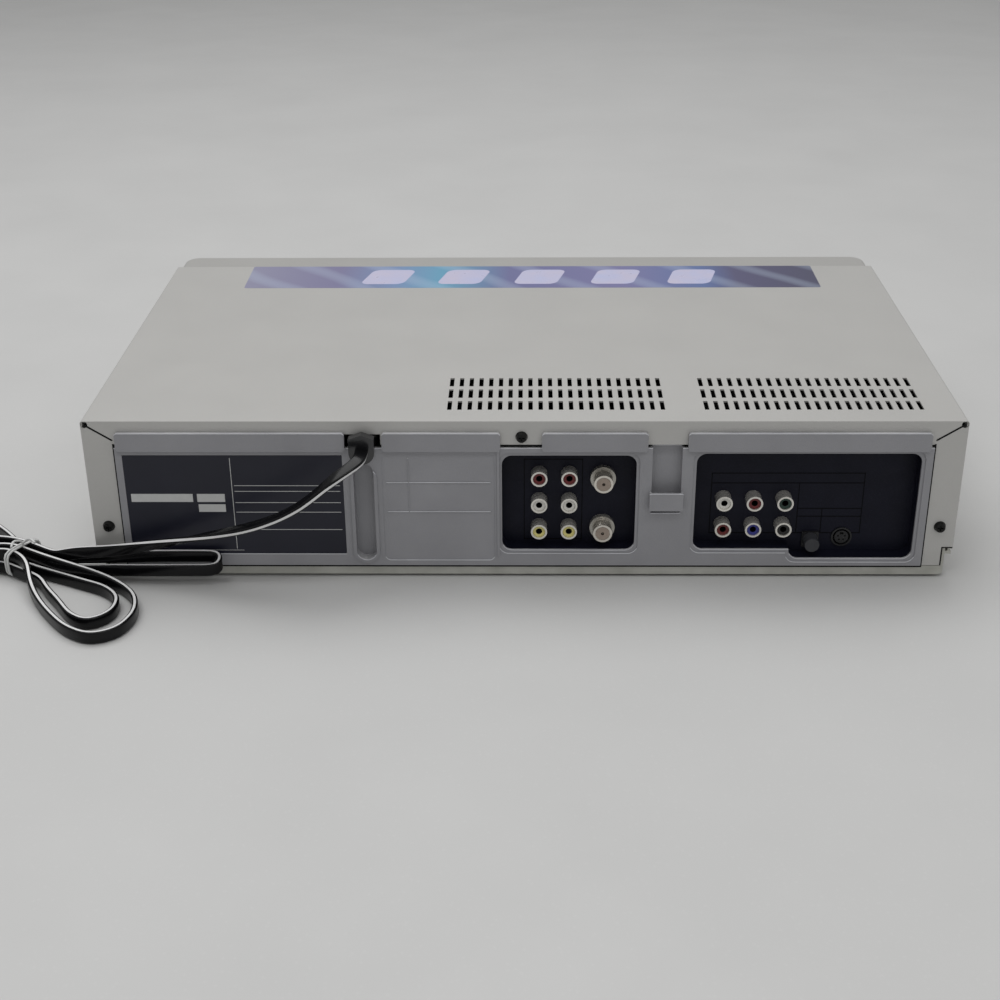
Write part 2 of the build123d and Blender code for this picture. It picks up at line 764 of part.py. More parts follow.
# board behind the panel with the fluorescent display and one switch behind each key
board_front_y = front_y + front_board_back
stem_end_y = board_front_y - 3.6 - button_travel - gap
with BuildPart() as front_board:
    with BuildSketch(across(board_front_y)):
        block(-206.0, 208.0, 6.0, 41.0)
        for x, height in front_jacks:
            disc(x, height, rca_radius + gap, mode=Mode.SUBTRACT)
    extrude(amount=-board_thickness)
    with BuildSketch(across(board_front_y)):
        for name, x, height, across_x, up in buttons:
            block(x - 3, x + 3, height - 3, height + 3)
        for x in (rocker[0] + 10, rocker[1] - 10):
            block(x - 3, x + 3, rocker[2] - 3, rocker[2] + 3)
    extrude(amount=3.6)
    with BuildSketch(across(board_front_y)):
        x0, x1, low, high = window_area
        block(x0 + 5, x1 - 5, low + 2, high - 2)
    extrude(amount=6)
    with BuildSketch(across(board_front_y + board_thickness + 3)):
        block(front_jack_columns[0] - 6, front_jack_columns[2] + 6, 18, 34)
    extrude(amount=3)
front_board.part.label = "front_board"
export_step(front_board.part, "parts/front_board.step")

for name, x, height, across_x, up in buttons:
    with BuildPart() as button:
        with BuildSketch(across(inside_y + gap / 2)):
            cap_outline(x, height, across_x, up)
        extrude(amount=front_wall + gap / 2 + button_proud)
        with BuildSketch(across(inside_y + gap / 2 + button_flange)):
            cap_outline(x, height, across_x, up, 1.2)
        extrude(amount=button_flange)
        with BuildSketch(across(stem_end_y)):
            disc(x, height, 2.0)
        extrude(amount=stem_end_y - inside_y)
    button.part.label = name
    export_step(button.part, f"parts/{name}.step")

with BuildPart() as wind_rocker:
    with BuildSketch(across(inside_y + 1.2)):
        cap_outline(rocker_x, rocker[2], rocker[1] - rocker[0], rocker[3])
    extrude(amount=front_wall + 1.2 + button_proud)
    with BuildSketch(across(inside_y + 3.2)):
        block(rocker_x - 3, rocker_x + 3, rocker[2] - rocker[3] / 2, rocker[2] + rocker[3] / 2)
        for x in (rocker[0] + 10, rocker[1] - 10):
            disc(x, rocker[2], 2.0)
    extrude(amount=2.5)
wind_rocker.part.label = "wind_rocker"
export_step(wind_rocker.part, "parts/wind_rocker.step")

with BuildPart() as cassette_door:
    x0, x1, low, high = cassette_slot
    with BuildSketch(across(front_y + 2.6)):
        block(x0 + gap, x1 - gap, low + gap, high - gap)
    extrude(amount=2.2)
    with BuildSketch(Plane(origin=(x0 + gap, door_axis_y, base_z + door_axis_height), z_dir=(1, 0, 0))):
        Circle(door_pin)
    extrude(amount=x1 - x0 - 2 * gap)
    with BuildSketch(Plane(origin=(x0 - 3, door_axis_y, base_z + door_axis_height), z_dir=(1, 0, 0))):
        Circle(door_pin)
    extrude(amount=x1 - x0 + 6)
cassette_door.part.label = "cassette_door"
export_step(cassette_door.part, "parts/cassette_door.step")

# ================================================================ disc loader
bay_half = disc_tray_width / 2 + 5.5
loader_half = bay_half + loader_wall
loader_front_y = front_y + loader_front_gap
tray_front_y = front_y + lid_thickness
tray_back_y = tray_front_y + disc_tray_length
floor_top = loader_floor + loader_floor_thickness
tooth_pitch = pi * tooth_module
rack_teeth = int((disc_tray_length - 8) / tooth_pitch)
rack_y = (tray_front_y + tray_back_y) / 2
tray_gear_pitch = tray_gear_teeth * tooth_module / 2
pinion_pitch = pinion_teeth * tooth_module / 2
tray_gear_x = rack_x - tray_gear_pitch
tray_gear_y = loader_front_y + 8.0
pinion_y = tray_gear_y + tray_gear_pitch + pinion_pitch
rack_low = tray_slot[2] + gap  # the rack passes through the panel's slot with the tray
tray_gear_high = disc_tray_low - gap
axle_radius = 2.0
motor_shaft = 1.0
traverse_left = 29.0
traverse_right = 34.0
traverse_top = traverse_low + traverse_thickness
pivot_y = 18.0
pivot_height = traverse_low + traverse_thickness / 2
rod_height = traverse_top + 2.5
lens_y = spindle_y + sled_inner
sled_front = 7.0  # sled's body in front of the lens
sled_back = 17.0
rods_y = (lens_y - sled_front - 4.0, lens_y + sled_travel + sled_back + 4.0)
sled_low = traverse_top + 0.6
sled_high = disc_tray_low - 1.8
sled_rack_x = 23.0
sled_gear_pitch = sled_gear_teeth * tooth_module / 2
sled_gear_y = lens_y + sled_travel / 2
sled_rack_teeth = int((sled_travel + 9) / tooth_pitch)

with BuildPart() as loader_frame:
    with BuildSketch(level(loader_floor)):
        block(disc_x - loader_half, disc_x + loader_half, loader_front_y, loader_back_y)
    extrude(amount=loader_top - loader_floor)
    with BuildSketch(level(floor_top)):
        block(disc_x - bay_half, disc_x + bay_half, loader_front_y - 1, loader_back_y - loader_wall)
    extrude(amount=loader_top, mode=Mode.SUBTRACT)
    # ledges under the tray and lips over its edges
    for low, high in ((disc_tray_low - 2.5, disc_tray_low - gap), (disc_tray_high + gap, disc_tray_high + 2.3)):
        with BuildSketch(level(low)):
            block(disc_x - bay_half - 0.5, disc_x + bay_half + 0.5, loader_front_y, loader_back_y - 1)
            block(disc_x - bay_half + 8, disc_x + bay_half - 8, loader_front_y, loader_back_y - 1,
                  mode=Mode.SUBTRACT)
        extrude(amount=high - low)
    # bridge over the disc, with the hole that the clamp hangs in
    with BuildSketch(level(loader_top)):
        block(disc_x - loader_half, disc_x + loader_half, spindle_y - 18, spindle_y + 18)
        disc(disc_x, spindle_y, clamp_neck + gap, mode=Mode.SUBTRACT)
    extrude(amount=2.0)
    # window for the traverse, and lugs that hold its pivots
    with BuildSketch(level(loader_floor - 1)):
        block(disc_x - traverse_left - 4, disc_x + traverse_right + 4, spindle_y - 26, pivot_y + 7)
        disc(tray_gear_x, pinion_y, motor_shaft + 0.5)
    extrude(amount=loader_floor_thickness + 1.5, mode=Mode.SUBTRACT)
    for inner, outer in ((-traverse_left - 3.9, -traverse_left - 7.5), (traverse_right + 3.9, traverse_right + 7.5)):
        with BuildSketch(level(loader_floor)):
            block(*sorted((disc_x + inner, disc_x + outer)), pivot_y - 5, pivot_y + 5)
        extrude(amount=pivot_height + 4 - loader_floor)
    with BuildSketch(Plane(origin=(disc_x - 45, pivot_y, base_z + pivot_height), z_dir=(1, 0, 0))):
        Circle(traverse_pivot_radius + running)
    extrude(amount=90, mode=Mode.SUBTRACT)
    # room in the ledge for the tray gear, its axle, and four legs
    with BuildSketch(level(gear_low)):
        disc(tray_gear_x, tray_gear_y, tray_gear_pitch + tooth_module + gap)
    extrude(amount=disc_tray_low - gear_low, mode=Mode.SUBTRACT)
    with BuildSketch(level(floor_top)):
        disc(tray_gear_x, tray_gear_y, axle_radius)
    extrude(amount=gear_low + gear_thickness + 1 - floor_top)
    with BuildSketch(level(tray_sheet)):
        for x in (disc_x - loader_half + 3, disc_x + loader_half - 3):
            for y in (joint_y + collar + 4, loader_back_y - 3):
                block(x - 3, x + 3, y - 3, y + 3)
    extrude(amount=loader_floor - tray_sheet)
loader_frame.part.label = "loader_frame"
export_step(loader_frame.part, "parts/loader_frame.step")

with BuildPart() as disc_tray:
    with BuildSketch(level(disc_tray_low)):
        block(disc_x - disc_tray_width / 2, disc_x + disc_tray_width / 2, tray_front_y, tray_back_y)
    extrude(amount=disc_tray_high - disc_tray_low)
    with BuildSketch(level(disc_tray_high)):
        disc(disc_x, spindle_y, disc_well)
    extrude(amount=-disc_well_depth, mode=Mode.SUBTRACT)
    with BuildSketch(level(disc_tray_high - disc_well_depth)):
        disc(disc_x, spindle_y, small_well)
    extrude(amount=-small_well_depth, mode=Mode.SUBTRACT)
    with BuildSketch(level(disc_tray_low)):
        disc(disc_x, spindle_y, spindle_slot / 2)
        block(disc_x - spindle_slot / 2, disc_x + spindle_slot / 2, spindle_y, tray_back_y)
    extrude(amount=disc_tray_high - disc_tray_low, mode=Mode.SUBTRACT)
    with BuildSketch(level(rack_low)):
        with Locations((rack_x, rack_y)):
            Polygon(*rack_points(rack_teeth, tooth_module, 3.0), align=None)
    extrude(amount=disc_tray_low - rack_low)
disc_tray.part.label = "disc_tray"
export_step(disc_tray.part, "parts/disc_tray.step")

with BuildPart() as tray_front:
    with BuildSketch(across(tray_front_y)):
        x0, x1, low, high = tray_slot
        rounded(x0 + gap, x1 - gap, low + gap, high - gap, 1.0)
    extrude(amount=lid_thickness)
    fillet(tray_front.faces().sort_by(Axis.Y)[0].edges(), 0.6)
tray_front.part.label = "tray_front"
export_step(tray_front.part, "parts/tray_front.step")

gear_turn = (rack_y - tray_gear_y - rack_teeth * tooth_pitch / 2 + tooth_pitch) / tray_gear_pitch
with BuildPart() as tray_gear:
    with BuildSketch(level(gear_low, tray_gear_x, tray_gear_y)):
        Polygon(*gear_points(tray_gear_teeth, tooth_module, gear_turn), align=None)
        Circle(axle_radius + running, mode=Mode.SUBTRACT)
    extrude(amount=tray_gear_high - gear_low)
tray_gear.part.label = "tray_gear"
export_step(tray_gear.part, "parts/tray_gear.step")

pinion_turn = -pi / 2 - (gear_turn - pi / 2) * tray_gear_pitch / pinion_pitch + pi / pinion_teeth
with BuildPart() as motor_pinion:
    with BuildSketch(level(gear_low, tray_gear_x, pinion_y)):
        Polygon(*gear_points(pinion_teeth, tooth_module, pinion_turn), align=None)
    extrude(amount=gear_thickness)
    with BuildSketch(level(loader_floor - 6, tray_gear_x, pinion_y)):
        Circle(motor_shaft)
    extrude(amount=gear_low + 6 - loader_floor)
motor_pinion.part.label = "motor_pinion"
export_step(motor_pinion.part, "parts/motor_pinion.step")

with BuildPart() as loading_motor:
    with BuildSketch(level(loader_floor, tray_gear_x, pinion_y)):
        Circle(10.0)
        Rectangle(20, 15, mode=Mode.INTERSECT)
    extrude(amount=-20)
    with BuildSketch(level(loader_floor, tray_gear_x, pinion_y)):
        Circle(motor_shaft + running)
    extrude(amount=-8, mode=Mode.SUBTRACT)
loading_motor.part.label = "loading_motor"
export_step(loading_motor.part, "parts/loading_motor.step")

with BuildPart() as traverse_frame:
    with BuildSketch(level(traverse_low)):
        block(disc_x - traverse_left, disc_x + traverse_right, spindle_y - 22, pivot_y + 4)
        block(disc_x - 20, disc_x + 20, rods_y[0] + 3, rods_y[1] - 3, mode=Mode.SUBTRACT)
        disc(disc_x, spindle_y, 3.0, mode=Mode.SUBTRACT)
    extrude(amount=traverse_thickness)
    with BuildSketch(level(traverse_top)):
        for x in (disc_x - rod_spread, disc_x + rod_spread):
            for y0, y1 in ((rods_y[0] - 1, rods_y[0] + 3), (rods_y[1] - 3, rods_y[1] + 1)):
                block(x - 3.5, x + 3.5, y0, y1)
    extrude(amount=rod_height + 2.5 - traverse_top)
    with BuildSketch(across(rods_y[1])):
        for x in (disc_x - rod_spread, disc_x + rod_spread):
            disc(x, rod_height, rod_radius + running)
    extrude(amount=rods_y[1] - rods_y[0], mode=Mode.SUBTRACT)
    with BuildSketch(level(traverse_top)):
        disc(disc_x + sled_rack_x + sled_gear_pitch, sled_gear_y, rod_radius)
    extrude(amount=6)
    for x0, x1 in ((-traverse_left - 7.0, -traverse_left + 2), (traverse_right - 2, traverse_right + 7.0)):
        pivot = Plane(origin=(disc_x + x0, pivot_y, base_z + pivot_height), z_dir=(1, 0, 0))
        with BuildSketch(pivot):
            Circle(traverse_pivot_radius)
        extrude(amount=x1 - x0)
traverse_frame.part.label = "traverse_frame"
export_step(traverse_frame.part, "parts/traverse_frame.step")

with BuildPart() as guide_rods:
    with BuildSketch(across(rods_y[1])):
        for x in (disc_x - rod_spread, disc_x + rod_spread):
            disc(x, rod_height, rod_radius)
    extrude(amount=rods_y[1] - rods_y[0])
guide_rods.part.label = "guide_rods"
export_step(guide_rods.part, "parts/guide_rods.step")

with BuildPart() as spindle_motor:
    with BuildSketch(level(traverse_low - 8, disc_x, spindle_y)):
        Circle(11.0)
    extrude(amount=8)
    with BuildSketch(level(traverse_low, disc_x, spindle_y)):
        Circle(rod_radius + running)
    extrude(amount=-7, mode=Mode.SUBTRACT)
spindle_motor.part.label = "spindle_motor"
export_step(spindle_motor.part, "parts/spindle_motor.step")

with BuildPart() as turntable:
    with BuildSketch(level(traverse_low - 6, disc_x, spindle_y)):
        Circle(rod_radius)
    extrude(amount=turntable_low - traverse_low + 6)
    with BuildSketch(level(turntable_low, disc_x, spindle_y)):
        Circle(turntable_radius)
    extrude(amount=turntable_thickness)
    with BuildSketch(level(turntable_low + turntable_thickness, disc_x, spindle_y)):
        Circle(hub_radius)
    extrude(amount=hub_height, taper=20)
    with BuildSketch(level(turntable_low + turntable_thickness, disc_x, spindle_y)):
        Circle(turntable_radius - 1)
        Circle(hub_radius + 1.5, mode=Mode.SUBTRACT)
    extrude(amount=-0.4, mode=Mode.SUBTRACT)
turntable.part.label = "turntable"
export_step(turntable.part, "parts/turntable.step")

with BuildPart() as disc_clamp:
    with BuildSketch(level(clamp_low, disc_x, spindle_y)):
        Circle(clamp_radius)
        Circle(hub_radius + 0.6, mode=Mode.SUBTRACT)
    extrude(amount=3)
    with BuildSketch(level(clamp_low + 1.6, disc_x, spindle_y)):
        Circle(clamp_neck)
    extrude(amount=loader_top + 2 + gap - clamp_low - 1.6)
    with BuildSketch(level(loader_top + 2 + gap, disc_x, spindle_y)):
        Circle(clamp_neck + 2.5)
    extrude(amount=1.6)
disc_clamp.part.label = "disc_clamp"
export_step(disc_clamp.part, "parts/disc_clamp.step")

with BuildPart() as pickup_sled:
    with BuildSketch(level(sled_low)):
        block(disc_x - sled_width / 2, disc_x + sled_width / 2 - 2, lens_y - sled_front, lens_y + sled_back)
    extrude(amount=sled_high - sled_low)
    with BuildSketch(across(lens_y + sled_back)):
        for x in (disc_x - rod_spread, disc_x + rod_spread):
            disc(x, rod_height, rod_radius + running)
    extrude(amount=sled_front + sled_back, mode=Mode.SUBTRACT)
    with BuildSketch(level(sled_high, disc_x, lens_y)):
        Circle(5.5)
    extrude(amount=1.2)
    with BuildSketch(level(sled_high + 1.2, disc_x, lens_y)):
        Circle(3.2)
    extrude(amount=0.8, taper=30)
    with BuildSketch(level(traverse_top + 1.3)):
        with Locations((disc_x + sled_rack_x, lens_y)):
            Polygon(*rack_points(sled_rack_teeth, tooth_module, 3.5), rotation=180, align=None)
    extrude(amount=3.4)
pickup_sled.part.label = "pickup_sled"
export_step(pickup_sled.part, "parts/pickup_sled.step")

# the rack is turned half round, so its teeth stand at the same places as before on an even count
rack_step = lens_y + (0.5 - sled_rack_teeth / 2) * tooth_pitch - sled_gear_y
sled_turn = pi - rack_step / sled_gear_pitch + pi / sled_gear_teeth
with BuildPart() as sled_gear:
    with BuildSketch(level(traverse_top + 1, disc_x + sled_rack_x + sled_gear_pitch, sled_gear_y)):
        Polygon(*gear_points(sled_gear_teeth, tooth_module, sled_turn), align=None)
        Circle(rod_radius + running, mode=Mode.SUBTRACT)
    extrude(amount=4)
sled_gear.part.label = "sled_gear"
export_step(sled_gear.part, "parts/sled_gear.step")

# ================================================================ cassette deck
deck_top_face = deck_plate + deck_thickness
reels = ((deck_x - reel_spread / 2, reel_y), (deck_x + reel_spread / 2, reel_y))
bracket = 1.2
reel_low = deck_top_face + gap
basket_half = basket_width / 2 + 1.2
basket_front_y = deck_front_y + 1.0
basket_back_y = basket_front_y + basket_depth
basket_top = basket_floor + basket_height
arm_x = deck_half - bracket - gap  # outer face of the carriage's arms, from the middle
pin_places = (basket_front_y + 34.0, basket_front_y + 52.0)
pin_height = basket_floor + 20.0
pin_radius = 2.0
arm_low = basket_floor - 6.0
arm_high = deck_top + 1.0
pinch_arm_length = 24.0
to_capstan = hypot(capstan_place[0] - pinch_place[0], capstan_place[1] - pinch_place[1])
roller_reach = pinch_radius + capstan_radius + gap
pinch_vector = Vector(capstan_place[0] - pinch_place[0], capstan_place[1] - pinch_place[1])
half_chord = (to_capstan**2 + pinch_arm_length**2 - roller_reach**2) / (2 * to_capstan * pinch_arm_length)
pressed_turn = degrees(pi / 2 - asin(half_chord))
# the roller stands back from the capstan by the arm's swing
arm_vector = pinch_vector.normalized().rotate(Axis.Z, pressed_turn + pinch_swing) * pinch_arm_length
roller_place = (pinch_place[0] + arm_vector.X, pinch_place[1] + arm_vector.Y)
roller_low = 27.0
roller_high = 40.0

with BuildPart() as deck_chassis:
    with BuildSketch(level(deck_plate)):
        block(deck_x - deck_half, deck_x + deck_half, deck_front_y, deck_middle_y)
        block(deck_x - 36, deck_x + deck_half, deck_middle_y, deck_back_y)
    extrude(amount=deck_thickness)
    with BuildSketch(level(deck_plate)):
        for side in (-1, 1):
            outer = deck_x + side * deck_half
            block(*sorted((outer, outer - side * bracket)), deck_front_y + 3, deck_middle_y - 3)
    extrude(amount=deck_top - deck_plate)
    with BuildSketch(level(deck_plate - 2)):
        disc(*capstan_place, 4.5)
    extrude(amount=12)
    with BuildSketch(level(deck_top_face)):
        for x, y in reels:
            disc(x, y, axle_radius)
    extrude(amount=16)
    with BuildSketch(level(deck_top_face)):
        disc(*pinch_place, axle_radius)
    extrude(amount=roller_high + 5 - deck_top_face)
    with BuildSketch(level(deck_plate - 3)):
        disc(*capstan_place, capstan_radius + running)
    extrude(amount=14, mode=Mode.SUBTRACT)
    # bent-slot windows in the side brackets, where the carriage's drive reaches in
    with BuildSketch(Plane(origin=(0, 0, base_z), x_dir=(0, 1, 0), z_dir=(1, 0, 0))):
        block(deck_front_y + 20, deck_front_y + 70, 30, 36)
        block(deck_front_y + 64, deck_front_y + 70, 24, 36)
        block(deck_front_y + 90, deck_front_y + 128, 30, 60)
    extrude(amount=deck_x + deck_half + 1, mode=Mode.SUBTRACT)
deck_chassis.part.label = "deck_chassis"
export_step(deck_chassis.part, "parts/deck_chassis.step")

with BuildPart() as carriage_frame:
    with BuildSketch(across(pin_places[1] + 14)):
        block(deck_x - arm_x, deck_x + arm_x, arm_low, arm_high + 1)
        block(deck_x - arm_x + 1, deck_x + arm_x - 1, arm_low, arm_high, mode=Mode.SUBTRACT)
    extrude(amount=pin_places[1] - pin_places[0] + 28)
    with BuildSketch(Plane(origin=(0, 0, base_z), x_dir=(0, 1, 0), z_dir=(1, 0, 0))):
        for y in pin_places:
            half = pin_radius + running
            with Locations((y, pin_height - cassette_drop / 2)):
                SlotOverall(cassette_drop + 2 * half, 2 * half, rotation=90)
    extrude(amount=deck_x + deck_half + 1, mode=Mode.SUBTRACT)
    with BuildSketch(level(arm_high - 1)):
        with Locations((deck_x, (pin_places[0] + pin_places[1]) / 2)):
            with GridLocations(44, 0, 4, 1):
                RectangleRounded(32, 26, 4)
    extrude(amount=4, mode=Mode.SUBTRACT)
carriage_frame.part.label = "carriage_frame"
export_step(carriage_frame.part, "parts/carriage_frame.step")

with BuildPart() as cassette_basket:
    with BuildSketch(across(basket_back_y)):
        block(deck_x - basket_half, deck_x + basket_half, basket_floor, basket_top)
        block(deck_x - basket_half + basket_sheet, deck_x + basket_half - basket_sheet,
              basket_floor + basket_sheet, basket_top - basket_sheet, mode=Mode.SUBTRACT)
        block(deck_x - basket_half + 14, deck_x + basket_half - 14,
              basket_top - basket_sheet, basket_top, mode=Mode.SUBTRACT)
    extrude(amount=basket_depth)
    with BuildSketch(level(basket_floor)):
        block(deck_x - 75, deck_x + 75, basket_front_y + 15, basket_back_y - 16)
    extrude(amount=basket_sheet, mode=Mode.SUBTRACT)
    for side in (-1, 1):
        start = deck_x + side * basket_half
        with BuildSketch(Plane(origin=(start, 0, base_z), x_dir=(0, 1, 0), z_dir=(1, 0, 0))):
            for y in pin_places:
                disc(y, pin_height, pin_radius)
        extrude(amount=side * (arm_x - basket_half - gap))
cassette_basket.part.label = "cassette_basket"
export_step(cassette_basket.part, "parts/cassette_basket.step")


def reel(place):
    """A reel disc with its splined spindle, turning on a post of the deck."""
    with BuildPart() as turning:
        with BuildSketch(level(reel_low, *place)):
            Circle(reel_radius)
        extrude(amount=4)
        with BuildSketch(level(reel_low, *place)):
            Circle(10.0)
        extrude(amount=7)
        with BuildSketch(level(reel_low, *place)):
            Circle(4.0)
            with PolarLocations(4.4, 3):
                Rectangle(3.2, 1.6)
        extrude(amount=basket_floor - 6 - reel_low)
        with BuildSketch(level(reel_low, *place)):
            Circle(axle_radius + running)
        extrude(amount=17, mode=Mode.SUBTRACT)
    return turning.part


supply_reel = reel(reels[0])
supply_reel.label = "supply_reel"
export_step(supply_reel, "parts/supply_reel.step")
takeup_reel = reel(reels[1])
takeup_reel.label = "takeup_reel"
export_step(takeup_reel, "parts/takeup_reel.step")

# the drum leans back, so that the tape climbs across it
lean = radians(drum_tilt)
drum_plane = Plane(
    origin=(deck_x, drum_y, base_z + drum_split), x_dir=(1, 0, 0), z_dir=(0, -sin(lean), cos(lean))
)
drum_shaft = 2.5
with BuildPart() as lower_drum:
    with BuildSketch(drum_plane):
        Circle(drum_radius)
    extrude(amount=-16)
    with BuildSketch(level(deck_top_face, deck_x, drum_y)):
        Circle(22.0)
    extrude(amount=12)
    with BuildSketch(drum_plane):
        Circle(drum_shaft + running)
    extrude(amount=-14, mode=Mode.SUBTRACT)
lower_drum.part.label = "lower_drum"
export_step(lower_drum.part, "parts/lower_drum.step")

with BuildPart() as upper_drum:
    with BuildSketch(drum_plane.offset(0.4)):
        Circle(drum_radius)
    extrude(amount=drum_top - drum_split - 0.4)
    with BuildSketch(drum_plane.offset(drum_top - drum_split)):
        Circle(drum_radius - 4)
        Circle(9.0, mode=Mode.SUBTRACT)
    extrude(amount=-5, mode=Mode.SUBTRACT)
    with BuildSketch(drum_plane.offset(0.4)):
        with PolarLocations(drum_radius, 4):
            Rectangle(5, 6)
    extrude(amount=2.2, mode=Mode.SUBTRACT)
    with BuildSketch(drum_plane.offset(0.4)):
        Circle(drum_shaft)
    extrude(amount=-12)
upper_drum.part.label = "upper_drum"
export_step(upper_drum.part, "parts/upper_drum.step")

with BuildPart() as capstan_flywheel:
    with BuildSketch(level(4.5, *capstan_place)):
        Circle(flywheel_radius)
    extrude(amount=5)
    with BuildSketch(level(4.5, *capstan_place)):
        Circle(capstan_radius)
    extrude(amount=roller_high + 4 - 4.5)
    with BuildSketch(level(9.5, *capstan_place)):
        Circle(flywheel_radius - 4)
        Circle(6.0, mode=Mode.SUBTRACT)
    extrude(amount=-2, mode=Mode.SUBTRACT)
capstan_flywheel.part.label = "capstan_flywheel"
export_step(capstan_flywheel.part, "parts/capstan_flywheel.step")

with BuildPart() as pinch_arm:
    with BuildSketch(level(roller_high + gap)):
        disc(*pinch_place, 4.5)
        disc(*roller_place, 4.0)
        with BuildLine():
            Line(pinch_place, roller_place)
        trace(line_width=5)
    extrude(amount=2)
    with BuildSketch(level(roller_low)):
        disc(*pinch_place, 4.5)
    extrude(amount=roller_high + gap - roller_low)
    with BuildSketch(level(roller_low - 1)):
        disc(*roller_place, 1.5)
    extrude(amount=roller_high + gap + 1 - roller_low)
    with BuildSketch(level(roller_low)):
        disc(*pinch_place, axle_radius + running)
    extrude(amount=20, mode=Mode.SUBTRACT)
pinch_arm.part.label = "pinch_arm"
export_step(pinch_arm.part, "parts/pinch_arm.step")

with BuildPart() as pinch_roller:
    with BuildSketch(level(roller_low, *roller_place)):
        Circle(pinch_radius)
        Circle(1.5 + running, mode=Mode.SUBTRACT)
    extrude(amount=roller_high - roller_low)
pinch_roller.part.label = "pinch_roller"
export_step(pinch_roller.part, "parts/pinch_roller.step")

# ================================================================ boards
board_back_y = plate_back_y - gap
tail_y = plate_back_y - rca_tail  # inner ends of the jacks
with BuildPart() as main_board:
    with BuildSketch(level(board_level)):
        block(-48.0, 4.0, -98.0, board_back_y)
    extrude(amount=board_thickness)
    with BuildSketch(level(board_top)):
        block(rf_x - 9, rf_x + 9, tail_y - 32, tail_y)
    extrude(amount=54)
    with BuildSketch(level(board_top)):
        block(vcr_columns[1] - 5, vcr_columns[0] + 5, tail_y - 14, tail_y)
    extrude(amount=50)
    with BuildSketch(level(board_top)):
        block(-40, -20, -20, 0)
        block(-14, -4, -60, -36)
        block(-42, -30, -70, -50)
    extrude(amount=3)
    with BuildSketch(level(board_top)):
        for x, y in ((-34, 30), (-20, 44), (-8, 20), (-12, -80)):
            disc(x, y, 4.0)
    extrude(amount=11)
main_board.part.label = "main_board"
export_step(main_board.part, "parts/main_board.step")

with BuildPart() as dvd_board:
    with BuildSketch(level(board_level)):
        block(-186.0, -66.0, 20.0, board_back_y)
    extrude(amount=board_thickness)
    with BuildSketch(level(board_top)):
        block(dvd_columns[2] - 5, dvd_columns[0] + 5, tail_y - 14, tail_y)
    extrude(amount=dvd_rows[1] + 6 - board_top)
    with BuildSketch(level(board_top)):
        block(svideo_place[0] - 6, optical_place[0] + 5, tail_y - 12, tail_y)
    extrude(amount=svideo_place[1] + 6 - board_top)
    with BuildSketch(level(board_top)):
        block(-150, -122, 50, 78)
        block(-110, -90, 56, 70)
        block(-176, -160, 40, 52)
    extrude(amount=2.4)
    with BuildSketch(level(board_top)):
        for x, y in ((-176, 84), (-164, 92), (-80, 90)):
            disc(x, y, 4.0)
    extrude(amount=10)
dvd_board.part.label = "dvd_board"
export_step(dvd_board.part, "parts/dvd_board.step")

with BuildPart() as power_board:
    with BuildSketch(level(board_level)):
        block(9.0, 66.0, 46.0, board_back_y + 4)
    extrude(amount=board_thickness)
    with BuildSketch(level(board_top)):
        block(20, 48, 66, 92)
    extrude(amount=27)
    with BuildSketch(level(board_top)):
        block(24, 44, 60, 98)
    extrude(amount=20)
    with BuildSketch(level(board_top)):
        disc(54, 106, 9.0)
        disc(28, 110, 5.0)
        disc(40, 112, 5.0)
    extrude(amount=30)
    with BuildSketch(level(board_top)):
        block(12, 14, 62, 108)
        for y in (64, 73, 82, 91, 100):
            block(14, 18, y, y + 1.5)
    extrude(amount=34)
power_board.part.label = "power_board"
export_step(power_board.part, "parts/power_board.step")

# ================================================================ mains lead
with BuildPart() as cord_bush:
    for y, depth, across_x in (
        (rear_y + bush_reach, bush_reach - panel_proud - snug, bush_width),
        (panel_y + snug, panel_wall + 2 * snug, bush_neck),
        (panel_back_y - snug, 5.0, bush_width),
    ):
        with BuildSketch(across(y)):
            block(bush_x - across_x / 2, bush_x + across_x / 2, bush_low + bush_width / 2, bush_high)
            disc(bush_x, bush_low + bush_width / 2, across_x / 2)
        extrude(amount=depth)
    with BuildSketch(across(rear_y + bush_reach)):
        Polygon((bush_x - bush_width / 2, bush_high), (bush_x + bush_width / 2, bush_high),
                (bush_x, bush_ridge), align=None)
    extrude(amount=bush_reach - panel_proud - snug)
cord_bush.part.label = "cord_bush"
export_step(cord_bush.part, "parts/cord_bush.step")

bundle = Vector(cos(radians(waist_angle)), sin(radians(waist_angle)))
beside = Vector(-bundle.Y, bundle.X)
waist_point = Vector(waist[0], rear_y + waist[1])


def strand(along, sideways, z):
    """A point of the bundle at the tie: along it towards the case, and sideways by strand pitches."""
    place = waist_point + bundle * along + beside * (sideways * strand_pitch)
    return (place.X, place.Y, z)


def strand_from_case(along, sideways, z):
    """The same point, measured behind the rear flange."""
    x, y, height = strand(along, sideways, z)
    return (x, y - rear_y, height)


def lobe(turn, reach, half, out_z, back_z, side):
    """Four corners of a loop that leaves the tie in one direction and comes back to it."""
    axis = Vector(cos(radians(turn)), sin(radians(turn)))
    normal = Vector(-axis.Y, axis.X) * side
    corners = []
    for along, sideways, z in ((0.5, -1.0, out_z), (1.0, -0.9, out_z), (1.0, 0.9, back_z), (0.5, 1.0, back_z)):
        place = waist_point + axis * (reach * along) + normal * (half * sideways)
        corners.append((place.X, place.Y, z))
    return corners


def beside_case(points):
    """Route points given as x, distance behind the rear flange, and height above the floor."""
    return [(x, rear_y + back, z) for x, back, z in points]


